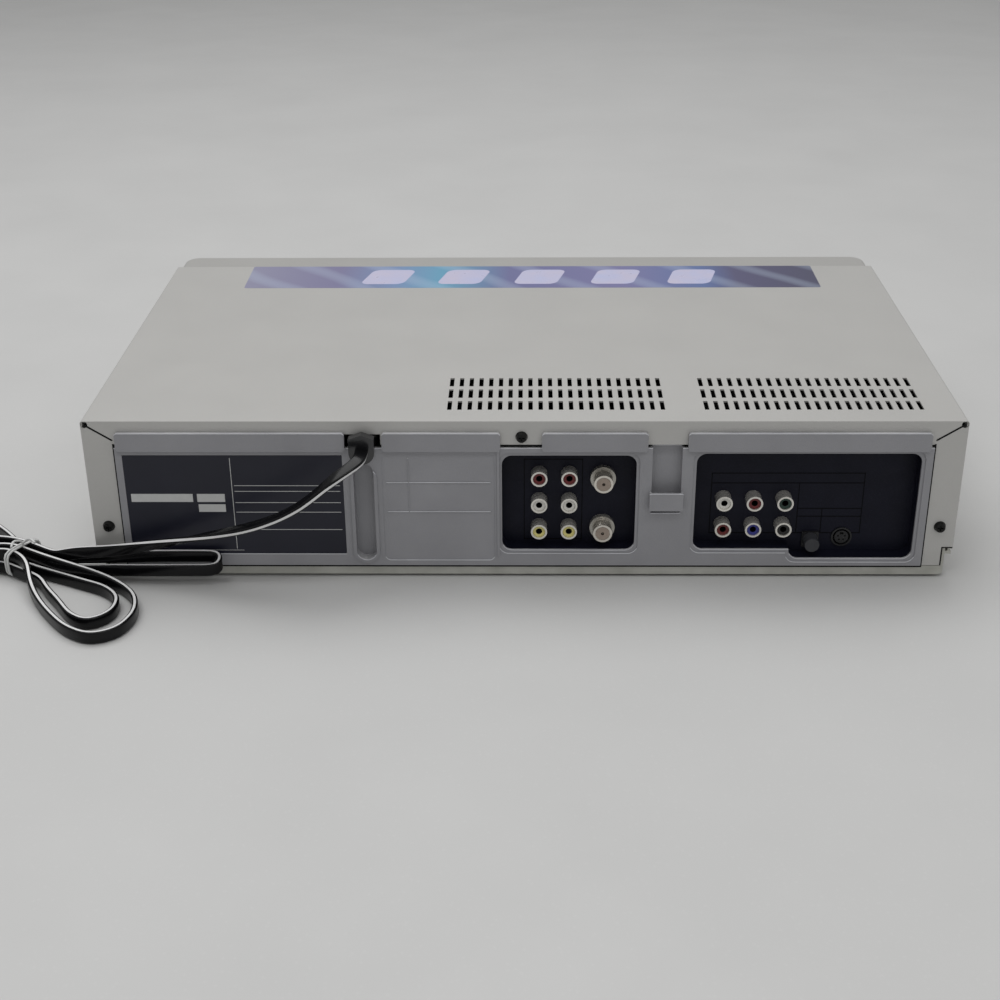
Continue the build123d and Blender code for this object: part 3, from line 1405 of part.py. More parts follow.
lead_points = beside_case([
    (bush_x, bush_reach, 71.8), (bush_x, 17.0, 71.8), (89.5, 26.0, 67.0), (107.0, 25.5, 51.0),
    (127.0, 21.5, 40.0), (147.5, 17.0, 33.0), (170.0, 12.5, 26.8), (191.0, 9.5, 21.4),
    (210.0, 7.6, 18.0), (225.5, 3.8, 15.4), strand_from_case(19, 1.0, high_z), strand_from_case(10, 1.0, high_z),
])

# seven strands pass the tie: three loops show towards the case, three are folded away beyond it
hank_points = [strand(10, 1.0, high_z), strand(-10, 1.0, high_z)]
hank_points += lobe(-37.0, 96.0, 18.0, high_z, floor_z, -1)
hank_points += [strand(-10, 1.5, low_z), strand(9, 1.5, low_z)]
hank_points += beside_case([
    (229.0, -0.9, 10.2), (213.0, 3.7, 12.7), (184.0, 4.5, 14.1), (151.5, 4.5, 14.0), (151.4, 11.6, 9.9),
    (184.0, 10.8, 9.2), (213.0, 6.4, 6.9), (229.0, 2.4, 4.0),
])
hank_points += [strand(10, 0.5, low_z), strand(-10, 0.5, low_z)]
hank_points += lobe(-10.0, 96.0, 18.0, floor_z, high_z, 1)
hank_points += [strand(-10, 0.0, high_z), strand(13, 0.0, high_z)]
hank_points += beside_case([
    (229.0, 7.8, 9.6), (213.5, 12.2, 6.8), (201.0, 16.5, floor_z), (190.0, 29.0, floor_z),
    (186.5, 46.0, floor_z), (191.5, 61.0, floor_z), (203.0, 67.5, floor_z), (216.0, 60.5, floor_z),
    (226.0, 49.0, floor_z), (236.4, 34.5, floor_z), (244.0, 21.5, 5.8),
])
hank_points += [strand(10, -1.0, high_z), strand(-10, -1.0, high_z)]
hank_points += lobe(16.0, 88.0, 18.0, high_z, floor_z, -1)
hank_points += [strand(-10, -0.5, low_z), strand(10, -0.5, low_z)]
hank_points += beside_case([
    (232.0, 8.4, floor_z), (218.6, 15.4, floor_z), (206.5, 21.0, floor_z), (197.5, 32.0, floor_z),
    (198.0, 46.0, floor_z), (207.5, 54.5, floor_z), (218.0, 48.0, floor_z), (226.2, 35.0, floor_z),
    (236.0, 22.0, floor_z), (241.4, 12.0, floor_z),
])
hank_points += [strand(10, -1.5, low_z), strand(-10, -1.5, low_z)]
hank_points += beside_case([
    (284.0, 6.0, floor_z), (289.0, 36.0, floor_z), (304.0, 62.0, plug_height / 2), (326.0, 62.0, plug_height / 2),
])


def corner_radii(points):
    """An arc for each corner: 0.45 of the shorter run, over the tangent of half the turn."""
    radii = []
    for before, corner, after in zip(points, points[1:], points[2:]):
        arriving = Vector(*corner) - Vector(*before)
        leaving = Vector(*after) - Vector(*corner)
        turn = radians(arriving.get_angle(leaving))
        radii.append(0.45 * min(arriving.length, leaving.length) / tan(turn / 2))
    return radii


def tube(points, name):
    """One unbroken tube along straight runs and tangent arcs, with its measures printed."""
    radii = corner_radii(points)
    with BuildPart() as run:
        with BuildLine() as path:
            FilletPolyline(*points, radius=radii)
        start = Vector(*points[1]) - Vector(*points[0])
        with BuildSketch(Plane(origin=points[0], z_dir=start)) as section:
            RegularPolygon(cord_radius, cord_sides)
        sweep()
    length = path.wires()[0].length
    print(name, "length", round(length, 1), "radii", [round(radius, 1) for radius in radii])
    print(name, "volume over section times length",
          round(run.part.volume / (section.sketch.area * length), 4))
    return run.part, path.wires()[0]


def least_gap(wire):
    """Least distance between the surfaces of strands that aren't neighbours along the tube."""
    count = int(wire.length / 1.5)
    places = [tuple(wire.position_at(step / count)) for step in range(count + 1)]
    apart = int(12 / 1.5)
    nearest = min(
        dist(places[one], places[other])
        for one in range(len(places)) for other in range(one + apart, len(places))
    )
    return nearest - 2 * cord_radius


cord_lead, lead_wire = tube(lead_points, "cord_lead")
cord_lead.label = "cord_lead"
export_step(cord_lead, "parts/cord_lead.step")
cord_hank, hank_wire = tube(hank_points, "cord_hank")
cord_hank.label = "cord_hank"
export_step(cord_hank, "parts/cord_hank.step")
print("cord_hank least gap to itself", round(least_gap(hank_wire), 2))
print("whole lead", round(lead_wire.length + hank_wire.length, 1))

with BuildPart() as cord_tie:
    across_bundle = Plane(
        origin=waist_point - bundle * (tie_width / 2), x_dir=beside, z_dir=bundle,
    )
    half = 1.5 * strand_pitch + cord_radius + gap
    low = low_z - cord_radius - gap
    high = high_z + cord_radius + gap
    with BuildSketch(across_bundle):
        rounded(-half - tie_wire, half + tie_wire, low - tie_wire, high + tie_wire, 3.0 + tie_wire)
        rounded(-half, half, low, high, 3.0, mode=Mode.SUBTRACT)
        # twisted ends
        block(-1.0, 1.0, high + tie_wire / 2, high + 9.0)
    extrude(amount=tie_width)
cord_tie.part.label = "cord_tie"
export_step(cord_tie.part, "parts/cord_tie.step")

plug_x = hank_points[-1][0]
plug_y = hank_points[-1][1]
with BuildPart() as plug:
    grip = Plane(origin=(plug_x, plug_y, plug_height / 2), x_dir=(0, 1, 0), z_dir=(1, 0, 0))
    with BuildSketch(grip):
        RectangleRounded(plug_width * 0.45, plug_height * 0.6, 3.0)
    with BuildSketch(grip.offset(plug_length * 0.45)):
        RectangleRounded(plug_width, plug_height, 4.0)
    loft()
    with BuildSketch(grip.offset(plug_length * 0.45)):
        RectangleRounded(plug_width, plug_height, 4.0)
    extrude(amount=plug_length * 0.55)
    with BuildSketch(grip.offset(plug_length)):
        for side in (-1, 1):
            with Locations((side * 6.35, 0)):
                Rectangle(1.5, 6.4)
    extrude(amount=blade_length)
plug.part.label = "plug"
export_step(plug.part, "parts/plug.step")
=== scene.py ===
from math import ceil, cos, hypot, pi, radians, sin, tan

import bmesh
import bpy
from mathutils import Matrix, Vector


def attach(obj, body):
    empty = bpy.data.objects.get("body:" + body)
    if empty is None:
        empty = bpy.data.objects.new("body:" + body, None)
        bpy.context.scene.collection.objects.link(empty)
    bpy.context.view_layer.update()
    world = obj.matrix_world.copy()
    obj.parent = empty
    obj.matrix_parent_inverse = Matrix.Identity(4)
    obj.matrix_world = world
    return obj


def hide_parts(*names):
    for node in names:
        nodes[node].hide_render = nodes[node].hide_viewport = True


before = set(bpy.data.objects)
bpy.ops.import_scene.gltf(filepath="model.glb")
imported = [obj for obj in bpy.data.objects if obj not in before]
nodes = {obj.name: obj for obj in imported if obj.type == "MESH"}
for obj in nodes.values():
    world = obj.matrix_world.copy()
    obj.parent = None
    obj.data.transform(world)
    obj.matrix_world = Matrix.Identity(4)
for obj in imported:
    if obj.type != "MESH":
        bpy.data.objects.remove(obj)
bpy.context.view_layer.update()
MM = 0.001

# ------------------------------------------------------------------ driving sizes, mm
REAR_Y = 130.6  # rear flange of the cover
BASE_Z = 1.5  # underside of the tray
PANEL_Y = REAR_Y + 1.3
JACK_Y = REAR_Y - 8.5
COVER_TOP = BASE_Z + 84.0
FRONT_Y = -135.0
JOINT_Y = -110.0  # front edge of the cover
VCR_COLUMNS, VCR_ROWS = (-8.2, -23.1), (23.2, 37.8, 52.4)
DVD_COLUMNS, DVD_ROWS = (-100.0, -115.0, -130.1), (24.4, 38.9)
JACK_BORE = 1.7
RF_X, RF_ROWS, RF_RADIUS = -39.9, (23.4, 50.6), 4.75
SOCKET_FACE_Y = JACK_Y + 9.5
PLUG_FACE_X = 358.5

# ------------------------------------------------------------------ camera
PITCH, YAW, ROLL = radians(26.342), radians(1.048), radians(-0.433)
LENS, SENSOR = 56.76, 36.0
EYE = Vector((-1.601, 829.73, 389.378))
ahead = Vector((sin(YAW) * cos(PITCH), -cos(YAW) * cos(PITCH), -sin(PITCH)))
level_right = ahead.cross(Vector((0, 0, 1))).normalized()
level_up = level_right.cross(ahead)
right = level_right * cos(ROLL) + level_up * sin(ROLL)
up = level_up * cos(ROLL) - level_right * sin(ROLL)
lens = bpy.data.cameras.new("camera")
lens.lens = LENS
lens.sensor_width = SENSOR
lens.clip_start = 0.02
camera = bpy.data.objects.new("camera", lens)
bpy.context.collection.objects.link(camera)
turn = Matrix((right, up, -ahead)).transposed()
camera.matrix_world = Matrix.Translation(EYE * MM) @ turn.to_4x4()
bpy.context.scene.camera = camera
bpy.context.scene.view_settings.view_transform = "Standard"


# ------------------------------------------------------------------ materials
def tone(red, green, blue):
    """Colour as seen on a screen, 0 to 255, as linear values."""
    linear = []
    for value in (red, green, blue):
        value /= 255
        linear.append(value / 12.92 if value <= 0.04045 else ((value + 0.055) / 1.055) ** 2.4)
    return (*linear, 1.0)


def finish(name, colour, rough, metal=0.0, mottle=(60, 0.05), grain=(2500, 0.08), rough_range=0.06,
           coat=0.0, second=None, specks=None, brushed=None, dust=0.0, specular=0.5, thread=0.0):
    """A shader with colour drift, an uneven sheen and a fine surface grain.

    mottle is (scale, strength) of the colour drift, grain (scale, strength) of the bump, brushed the
    axis along which the grain is drawn out, specks (scale, colour, amount) fine flakes, dust a pale film
    on top, and thread the pitch in mm of rings that run round the Y axis.
    """
    material = bpy.data.materials.new(name)
    material.use_nodes = True
    tree = material.node_tree
    shader = tree.nodes["Principled BSDF"]
    shader.inputs["Metallic"].default_value = metal
    shader.inputs["Coat Weight"].default_value = coat
    shader.inputs["Coat Roughness"].default_value = 0.12
    shader.inputs["Specular IOR Level"].default_value = specular
    place = tree.nodes.new("ShaderNodeTexCoord").outputs["Object"]

    def noise(scale, detail=4.0, stretch=None):
        texture = tree.nodes.new("ShaderNodeTexNoise")
        texture.inputs["Scale"].default_value = scale
        texture.inputs["Detail"].default_value = detail
        if stretch:
            mapping = tree.nodes.new("ShaderNodeMapping")
            mapping.inputs["Scale"].default_value = stretch
            tree.links.new(place, mapping.inputs["Vector"])
            tree.links.new(mapping.outputs["Vector"], texture.inputs["Vector"])
        else:
            tree.links.new(place, texture.inputs["Vector"])
        return texture.outputs["Fac"]

    def spread(value, low, high):
        ranged = tree.nodes.new("ShaderNodeMapRange")
        ranged.inputs["From Min"].default_value = 0.3
        ranged.inputs["From Max"].default_value = 0.7
        ranged.inputs["To Min"].default_value = low
        ranged.inputs["To Max"].default_value = high
        tree.links.new(value, ranged.inputs["Value"])
        return ranged.outputs["Result"]

    def mix(amount, first, other):
        mixed = tree.nodes.new("ShaderNodeMix")
        mixed.data_type = "RGBA"
        for socket, value in (("Factor", amount), ("A", first), ("B", other)):
            target = [s for s in mixed.inputs
                      if s.name == socket and (s.type == "RGBA" or socket == "Factor")][0]
            if isinstance(value, bpy.types.NodeSocket):
                tree.links.new(value, target)
            else:
                target.default_value = value
        return [s for s in mixed.outputs if s.type == "RGBA"][0]

    shade = mottle[1]
    darker = tuple(max(0.0, part * (1 - shade)) for part in colour[:3]) + (1.0,)
    lighter = second or tuple(min(1.0, part * (1 + shade)) for part in colour[:3]) + (1.0,)
    base = mix(spread(noise(mottle[0]), 0.0, 1.0), darker, lighter)
    if specks:
        flakes = tree.nodes.new("ShaderNodeTexVoronoi")
        flakes.inputs["Scale"].default_value = specks[0]
        tree.links.new(place, flakes.inputs["Vector"])
        near = tree.nodes.new("ShaderNodeMapRange")
        near.inputs["From Min"].default_value = 0.25
        near.inputs["From Max"].default_value = 0.05
        near.inputs["To Max"].default_value = specks[2]
        tree.links.new(flakes.outputs["Distance"], near.inputs["Value"])
        base = mix(near.outputs["Result"], base, specks[1])
    if dust:
        geometry = tree.nodes.new("ShaderNodeNewGeometry")
        split = tree.nodes.new("ShaderNodeSeparateXYZ")
        tree.links.new(geometry.outputs["Normal"], split.inputs["Vector"])
        film = tree.nodes.new("ShaderNodeMath")
        film.operation = "MULTIPLY"
        tree.links.new(split.outputs["Z"], film.inputs[0])
        tree.links.new(spread(noise(35, 6.0), 0.0, dust), film.inputs[1])
        film.use_clamp = True
        base = mix(film.outputs["Value"], base, tone(206, 206, 206))
    tree.links.new(base, shader.inputs["Base Color"])
    tree.links.new(spread(noise(mottle[0] * 2.3), rough - rough_range, rough + rough_range),
                   shader.inputs["Roughness"])
    if grain[1]:
        stretch = None
        if brushed == "x":
            stretch = (0.03, 1, 1)
        elif brushed == "y":
            stretch = (1, 0.03, 1)
        elif brushed == "z":
            stretch = (1, 1, 0.03)
        bump = tree.nodes.new("ShaderNodeBump")
        bump.inputs["Strength"].default_value = grain[1]
        bump.inputs["Distance"].default_value = 0.0004
        tree.links.new(noise(grain[0], 3.0, stretch), bump.inputs["Height"])
        if thread:
            rings = tree.nodes.new("ShaderNodeTexWave")
            rings.bands_direction = "Y"
            rings.inputs["Scale"].default_value = pi / (10 * thread * MM)
            tree.links.new(place, rings.inputs["Vector"])
            cut = tree.nodes.new("ShaderNodeBump")
            cut.inputs["Strength"].default_value = 0.7
            cut.inputs["Distance"].default_value = 0.0003
            tree.links.new(rings.outputs["Fac"], cut.inputs["Height"])
            tree.links.new(bump.outputs["Normal"], cut.inputs["Normal"])
            bump = cut
        tree.links.new(bump.outputs["Normal"], shader.inputs["Normal"])
    return material


silver = finish("cover_paint", tone(187, 186, 183), 0.40, 0.25, (14, 0.012), (3200, 0.20), 0.03,
                specks=(2200, tone(222, 222, 220), 0.5))
moulding = finish("panel_moulding", tone(146, 146, 150), 0.42, 0.0, (40, 0.05), (2200, 0.30), 0.05,
                  specks=(2000, tone(176, 176, 180), 0.4), dust=0.8)
galvanised = finish("galvanised_steel", tone(178, 178, 170), 0.36, 0.3, (70, 0.06), (900, 0.10), 0.08,
                    second=tone(196, 196, 189))
jack_black = finish("jack_plate_black", tone(20, 21, 33), 0.44, 0.0, (60, 0.12), (2800, 0.20), 0.06,
                    specks=(1500, tone(72, 74, 96), 0.25), specular=0.16)
plate_line = finish("plate_line", tone(4, 4, 6), 0.6, 0.0, (400, 0.10), (2500, 0.05), 0.05, specular=0.1)
foil = finish("plate_foil", tone(30, 31, 43), 0.36, 0.0, (50, 0.08), (3000, 0.06), 0.05, specular=0.35)
white_print = finish("white_print", tone(196, 197, 196), 0.5, 0.0, (300, 0.03), (3000, 0.05), 0.03)
threaded = finish("threaded_nickel", tone(216, 211, 202), 0.20, 1.0, (120, 0.06), (1500, 0.05), 0.06,
                  thread=0.8)
dielectric = finish("socket_dielectric", tone(150, 136, 124), 0.40, 0.0, (600, 0.06), (2500, 0.08), 0.05)
dull_nickel = finish("dull_nickel", tone(176, 173, 166), 0.26, 0.7, (120, 0.10), (1500, 0.08), 0.06)
nickel = finish("nickel_plate", tone(222, 219, 212), 0.26, 0.7, (120, 0.06), (1500, 0.05), 0.06)
red = finish("insert_red", tone(98, 18, 20), 0.34, 0.0, (400, 0.10), (2500, 0.05), 0.05)
white = finish("insert_white", tone(216, 214, 208), 0.36, 0.0, (400, 0.03), (2500, 0.05), 0.05)
yellow = finish("insert_yellow", tone(214, 204, 128), 0.36, 0.0, (400, 0.05), (2500, 0.05), 0.05)
blue = finish("insert_blue", tone(38, 44, 128), 0.34, 0.0, (400, 0.10), (2500, 0.05), 0.05)
green = finish("insert_green", tone(22, 52, 42), 0.34, 0.0, (400, 0.10), (2500, 0.05), 0.05)
# near-black painted shade, used for the jack bores and for the gaps round the rear panel
painted_shade = finish("painted_shade_black", tone(12, 12, 13), 0.6, 0.0, (400, 0.10), (2500, 0.05), 0.05, specular=0.2)
ebony = finish("insert_black", tone(20, 20, 22), 0.34, 0.0, (400, 0.10), (2500, 0.05), 0.05)
bush_black = finish("bush_black", tone(17, 17, 20), 0.20, 0.0, (90, 0.12), (1400, 0.06), 0.05, coat=0.7)
black_plastic = finish("black_plastic", tone(26, 26, 28), 0.42, 0.0, (90, 0.12), (2400, 0.12), 0.06)
soft_grey = finish("dust_cap_grey", tone(52, 53, 57), 0.55, 0.0, (200, 0.10), (2000, 0.16), 0.05)
blackened = finish("blackened_screw", tone(30, 30, 30), 0.32, 0.7, (500, 0.20), (1200, 0.10), 0.10)
front_paint = finish("front_paint", tone(176, 175, 172), 0.38, 0.25, (18, 0.015), (3200, 0.14), 0.03,
                     specks=(2200, tone(210, 210, 208), 0.45))
smoke = finish("smoked_window", tone(16, 17, 20), 0.08, 0.0, (30, 0.06), (400, 0.004), 0.02, coat=0.6)
key_paint = finish("key_paint", tone(190, 191, 192), 0.32, 0.5, (60, 0.03), (2600, 0.06), 0.04)
board_green = finish("board_green", tone(38, 82, 48), 0.45, 0.0, (180, 0.18), (700, 0.20), 0.08,
                     specks=(900, tone(150, 150, 138), 0.5))
deck_black = finish("deck_black", tone(34, 34, 36), 0.5, 0.0, (60, 0.10), (1800, 0.16), 0.06)
acetal = finish("acetal", tone(214, 211, 198), 0.38, 0.0, (120, 0.04), (1500, 0.06), 0.05)
can_steel = finish("can_steel", tone(176, 177, 178), 0.30, 0.9, (90, 0.06), (1600, 0.10), 0.06, brushed="z")
cast = finish("cast_metal", tone(120, 121, 124), 0.45, 0.8, (150, 0.12), (800, 0.2), 0.08)
ground = finish("ground_steel", tone(190, 191, 193), 0.16, 1.0, (90, 0.05), (1400, 0.05), 0.04, brushed="y")
drum_metal = finish("turned_drum", tone(205, 206, 208), 0.18, 1.0, (60, 0.04), (1200, 0.10), 0.04,
                    brushed="x")
rubber = finish("black_rubber", tone(28, 28, 29), 0.72, 0.0, (90, 0.14), (1600, 0.18), 0.06)
# pale colour painted on the cord's upper edge as a highlight
cord_highlight = finish("cord_painted_highlight", tone(226, 226, 226), 0.25, 0.0, (200, 0.03), (900, 0.03), 0.04)
vinyl = finish("cord_vinyl", tone(12, 12, 14), 0.24, 0.0, (140, 0.15), (900, 0.03), 0.03, coat=0.08,
               specular=0.2)
tie_vinyl = finish("tie_vinyl", tone(205, 206, 205), 0.45, 0.0, (300, 0.05), (900, 0.10), 0.05)
brass = finish("blade_brass", tone(196, 176, 116), 0.28, 1.0, (200, 0.08), (900, 0.10), 0.06)

LOOKS = {
    silver: "top_cover",
    galvanised: "chassis_tray deck_chassis carriage_frame cassette_basket traverse_frame",
    rubber: "feet pinch_roller",
    moulding: "rear_panel",
    foil: "nameplate",
    jack_black: "vcr_jack_plate dvd_jack_plate",
    nickel: "rca_jack_shells",
    threaded: "rf_connectors",
    red: "rca_inserts_red",
    white: "rca_inserts_white",
    yellow: "rca_inserts_yellow",
    ebony: "rca_inserts_dark",
    bush_black: "cord_bush",
    black_plastic: "svideo_socket optical_port plug",
    soft_grey: "optical_dust_cap",
    blackened: "rear_screws",
    front_paint: "front_panel tray_front cassette_door",
    smoke: "display_window",
    key_paint: "power_button disc_eject_button disc_play_button disc_stop_button "
               "tape_eject_button tape_play_button tape_stop_button wind_rocker",
    board_green: "front_board dvd_board main_board power_board",
    deck_black: "loader_frame disc_tray turntable disc_clamp pinch_arm",
    acetal: "tray_gear motor_pinion sled_gear supply_reel takeup_reel",
    can_steel: "loading_motor spindle_motor",
    cast: "pickup_sled",
    ground: "guide_rods capstan_flywheel",
    drum_metal: "lower_drum upper_drum",
}


def coat(obj, material):
    obj.data.materials.clear()
    obj.data.materials.append(material)


for material, names in LOOKS.items():
    for name in names.split():
        coat(nodes[name], material)

# blue, green and black insulators share one node: each solid gets its own colour
inserts = nodes["rca_inserts_dark"].data
inserts.materials.append(blue)
inserts.materials.append(green)
for face in inserts.polygons:
    if face.center.x > -0.122:
        face.material_index = 1
    elif face.center.z > 0.032:
        face.material_index = 2

# painted shade: the bores of all the jacks are coloured near-black for the shade inside them
JACK_AXES = [(x, row) for x in VCR_COLUMNS for row in VCR_ROWS]
JACK_AXES += [(x, row) for x in DVD_COLUMNS for row in DVD_ROWS]
for name in ("rca_inserts_red", "rca_inserts_white", "rca_inserts_yellow", "rca_inserts_dark"):
    mesh = nodes[name].data
    mesh.materials.append(painted_shade)
    ahead_of_middle = [vertex.co / MM for vertex in mesh.vertices if vertex.co.y < 0]
    if ahead_of_middle:
        across = [place.x for place in ahead_of_middle]
        rise = [place.z for place in ahead_of_middle]
        front_x, front_z = (min(across) + max(across)) / 2, (min(rise) + max(rise)) / 2
        for face in mesh.polygons:
            off_axis = hypot(face.center.x / MM - front_x, face.center.z / MM - front_z)
            if face.center.y < 0 and off_axis < JACK_BORE:
                face.material_index = len(mesh.materials) - 1
    for face in mesh.polygons:
        x, height = face.center.x / MM, face.center.z / MM - BASE_Z
        if face.center.y > 0 and min(hypot(x - a, height - b) for a, b in JACK_AXES) < JACK_BORE:
            face.material_index = len(mesh.materials) - 1

# the aerial sockets' seats are duller than their threads
sockets = nodes["rf_connectors"].data
sockets.materials.append(dull_nickel)
for face in sockets.polygons:
    height = min(abs(face.center.z / MM - BASE_Z - row) for row in RF_ROWS)
    if hypot(face.center.x / MM - RF_X, height) > RF_RADIUS + 0.2:
        face.material_index = 1

# brass blades on the plug
plug = nodes["plug"].data
plug.materials.append(brass)
for face in plug.polygons:
    if face.center.x > PLUG_FACE_X * MM:
        face.material_index = 1


# ------------------------------------------------------------------ mesh helpers
def add(name, verts, faces, material, smooth=False):
    """A piece of the case from vertices in millimetres."""
    mesh = bpy.data.meshes.new(name)
    mesh.from_pydata([tuple(Vector(v) * MM) for v in verts], [], faces)
    work = bmesh.new()
    work.from_mesh(mesh)
    bmesh.ops.recalc_face_normals(work, faces=work.faces)
    work.to_mesh(mesh)
    work.free()
    obj = bpy.data.objects.new(name, mesh)
    bpy.context.collection.objects.link(obj)
    coat(obj, material)
    for face in mesh.polygons:
        face.use_smooth = smooth
    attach(obj, "case")
    return obj


def swept(centres, section, aside):
    """Rings of a section, given as (across, along the width) pairs, carried along the centres."""
    verts = []
    for centre, (thick_way, wide_way) in zip(centres, aside):
        verts += [centre + thick_way * a + wide_way * b for a, b in section]
    count = len(section)
    faces = []
    for ring in range(len(centres) - 1):
        for step in range(count):
            after = (step + 1) % count
            low, high = ring * count, (ring + 1) * count
            faces.append((low + step, low + after, high + after, high + step))
    faces.append(tuple(range(count))[::-1])
    faces.append(tuple((len(centres) - 1) * count + step for step in range(count)))
    return verts, faces


def rounded_route(points, share=0.45):
    """Straight runs joined by tangent arcs, as evenly spaced points."""
    corners = [Vector(p) for p in points]
    path = [corners[0]]
    for before, corner, after in zip(corners, corners[1:], corners[2:]):
        back, on = (before - corner), (after - corner)
        bend = pi - back.angle(on)
        if bend < 0.01:
            continue
        reach = share * min(back.length, on.length)
        radius = reach / tan(bend / 2)
        start, end = corner + back.normalized() * reach, corner + on.normalized() * reach
        middle = corner + (back.normalized() + on.normalized()).normalized() * (radius / cos(bend / 2))
        steps = max(2, int(bend / radians(6)))
        for step in range(steps + 1):
            part = step / steps
            swing = (start - middle) * sin((1 - part) * bend) + (end - middle) * sin(part * bend)
            path.append(middle + swing / sin(bend))
    path.append(corners[-1])
    even = [path[0]]
    for place in path[1:]:
        one = even[-1]
        if (place - one).length > 0.5:
            pieces = ceil((place - one).length / 1.5)
            even += [one.lerp(place, step / pieces) for step in range(1, pieces + 1)]
    even[-1] = path[-1]
    return even


def smoothed(path, rounds=10):
    """The same path with its curvature evened out; both ends stay."""
    for _ in range(rounds):
        path = [path[0]] + [
            (before + middle * 2 + after) / 4 for before, middle, after in zip(path, path[1:], path[2:])
        ] + [path[-1]]
    return path


# ------------------------------------------------------------------ mains lead
WAIST = Vector((255.0, REAR_Y - 6.0))
WAIST_TURN = radians(146.5)
PITCH_OF_STRANDS = 5.6
LOW_Z, HIGH_Z, FLOOR_Z = 4.4, 10.8, 3.4
bundle = Vector((cos(WAIST_TURN), sin(WAIST_TURN)))
beside = Vector((-bundle.y, bundle.x))


def strand(along, sideways, z):
    place = WAIST + bundle * along + beside * (sideways * PITCH_OF_STRANDS)
    return (place.x, place.y, z)


def lobe(turn, reach, half, out_z, back_z, side):
    axis = Vector((cos(radians(turn)), sin(radians(turn))))
    normal = Vector((-axis.y, axis.x)) * side
    corners = []
    for along, sideways, z in ((0.5, -1, out_z), (1, -0.9, out_z), (1, 0.9, back_z), (0.5, 1, back_z)):
        place = WAIST + axis * (reach * along) + normal * (half * sideways)
        corners.append((place.x, place.y, z))
    return corners


def beside_case(points):
    return [(x, REAR_Y + back, z) for x, back, z in points]


BUSH_X = 78.15
PLUG_AXIS = 6.5
lead_points = beside_case([
    (BUSH_X, 6.0, 71.8), (BUSH_X, 17.0, 71.8), (89.5, 26.0, 67.0), (107.0, 25.5, 51.0),
    (127.0, 21.5, 40.0), (147.5, 17.0, 33.0), (170.0, 12.5, 26.8), (191.0, 9.5, 21.4),
    (210.0, 7.6, 18.0), (225.5, 3.8, 15.4),
]) + [strand(19, 1.0, HIGH_Z), strand(10, 1.0, HIGH_Z)]

# seven strands pass the tie: three loops show towards the case, three are folded away beyond it
hank_points = [strand(10, 1.0, HIGH_Z), strand(-10, 1.0, HIGH_Z)]
hank_points += lobe(-37.0, 96.0, 18.0, HIGH_Z, FLOOR_Z, -1)
hank_points += [strand(-10, 1.5, LOW_Z), strand(9, 1.5, LOW_Z)]
hank_points += beside_case([
    (229.0, -0.9, 10.2), (213.0, 3.7, 12.7), (184.0, 4.5, 14.1), (151.5, 4.5, 14.0), (151.4, 11.6, 9.9),
    (184.0, 10.8, 9.2), (213.0, 6.4, 6.9), (229.0, 2.4, 4.0),
])
hank_points += [strand(10, 0.5, LOW_Z), strand(-10, 0.5, LOW_Z)]
hank_points += lobe(-10.0, 96.0, 18.0, FLOOR_Z, HIGH_Z, 1)
hank_points += [strand(-10, 0.0, HIGH_Z), strand(13, 0.0, HIGH_Z)]
hank_points += beside_case([
    (229.0, 7.8, 9.6), (213.5, 12.2, 6.8), (201.0, 16.5, FLOOR_Z), (190.0, 29.0, FLOOR_Z),
    (186.5, 46.0, FLOOR_Z), (191.5, 61.0, FLOOR_Z), (203.0, 67.5, FLOOR_Z), (216.0, 60.5, FLOOR_Z),
    (226.0, 49.0, FLOOR_Z), (236.4, 34.5, FLOOR_Z), (244.0, 21.5, 5.8),
])
hank_points += [strand(10, -1.0, HIGH_Z), strand(-10, -1.0, HIGH_Z)]
hank_points += lobe(16.0, 88.0, 18.0, HIGH_Z, FLOOR_Z, -1)
hank_points += [strand(-10, -0.5, LOW_Z), strand(10, -0.5, LOW_Z)]
hank_points += beside_case([
    (232.0, 8.4, FLOOR_Z), (218.6, 15.4, FLOOR_Z), (206.5, 21.0, FLOOR_Z), (197.5, 32.0, FLOOR_Z),
    (198.0, 46.0, FLOOR_Z), (207.5, 54.5, FLOOR_Z), (218.0, 48.0, FLOOR_Z), (226.2, 35.0, FLOOR_Z),
    (236.0, 22.0, FLOOR_Z), (241.4, 12.0, FLOOR_Z),
])
hank_points += [strand(10, -1.5, LOW_Z), strand(-10, -1.5, LOW_Z)]
hank_points += beside_case([
    (284.0, 6.0, FLOOR_Z), (289.0, 36.0, FLOOR_Z), (304.0, 62.0, PLUG_AXIS), (326.0, 62.0, PLUG_AXIS),
])
path = smoothed(rounded_route(lead_points + hank_points[1:]))
length_so_far = [0.0]
for one, other in zip(path, path[1:]):
    length_so_far.append(length_so_far[-1] + (other - one).length)
CORD_WIDTH, CORD_THICK = 6.3, 3.0
# the flat side faces up near the case and stands on edge from the first curve on
FLAT_UNTIL, EDGE_FROM, FLAT_TILT = 75.0, 168.0, radians(-102)
sides = []
for index in range(len(path)):
    forward = (path[min(index + 1, len(path) - 1)] - path[max(index - 1, 0)]).normalized()
    upright = (Vector((0, 0, 1)) - forward * forward.z).normalized()
    sideways = forward.cross(upright)
    share = min(1.0, max(0.0, (length_so_far[index] - FLAT_UNTIL) / (EDGE_FROM - FLAT_UNTIL)))
    tilt = FLAT_TILT * (1 - share * share * (3 - 2 * share))
    sides.append((sideways * cos(tilt) - upright * sin(tilt), upright * cos(tilt) + sideways * sin(tilt)))
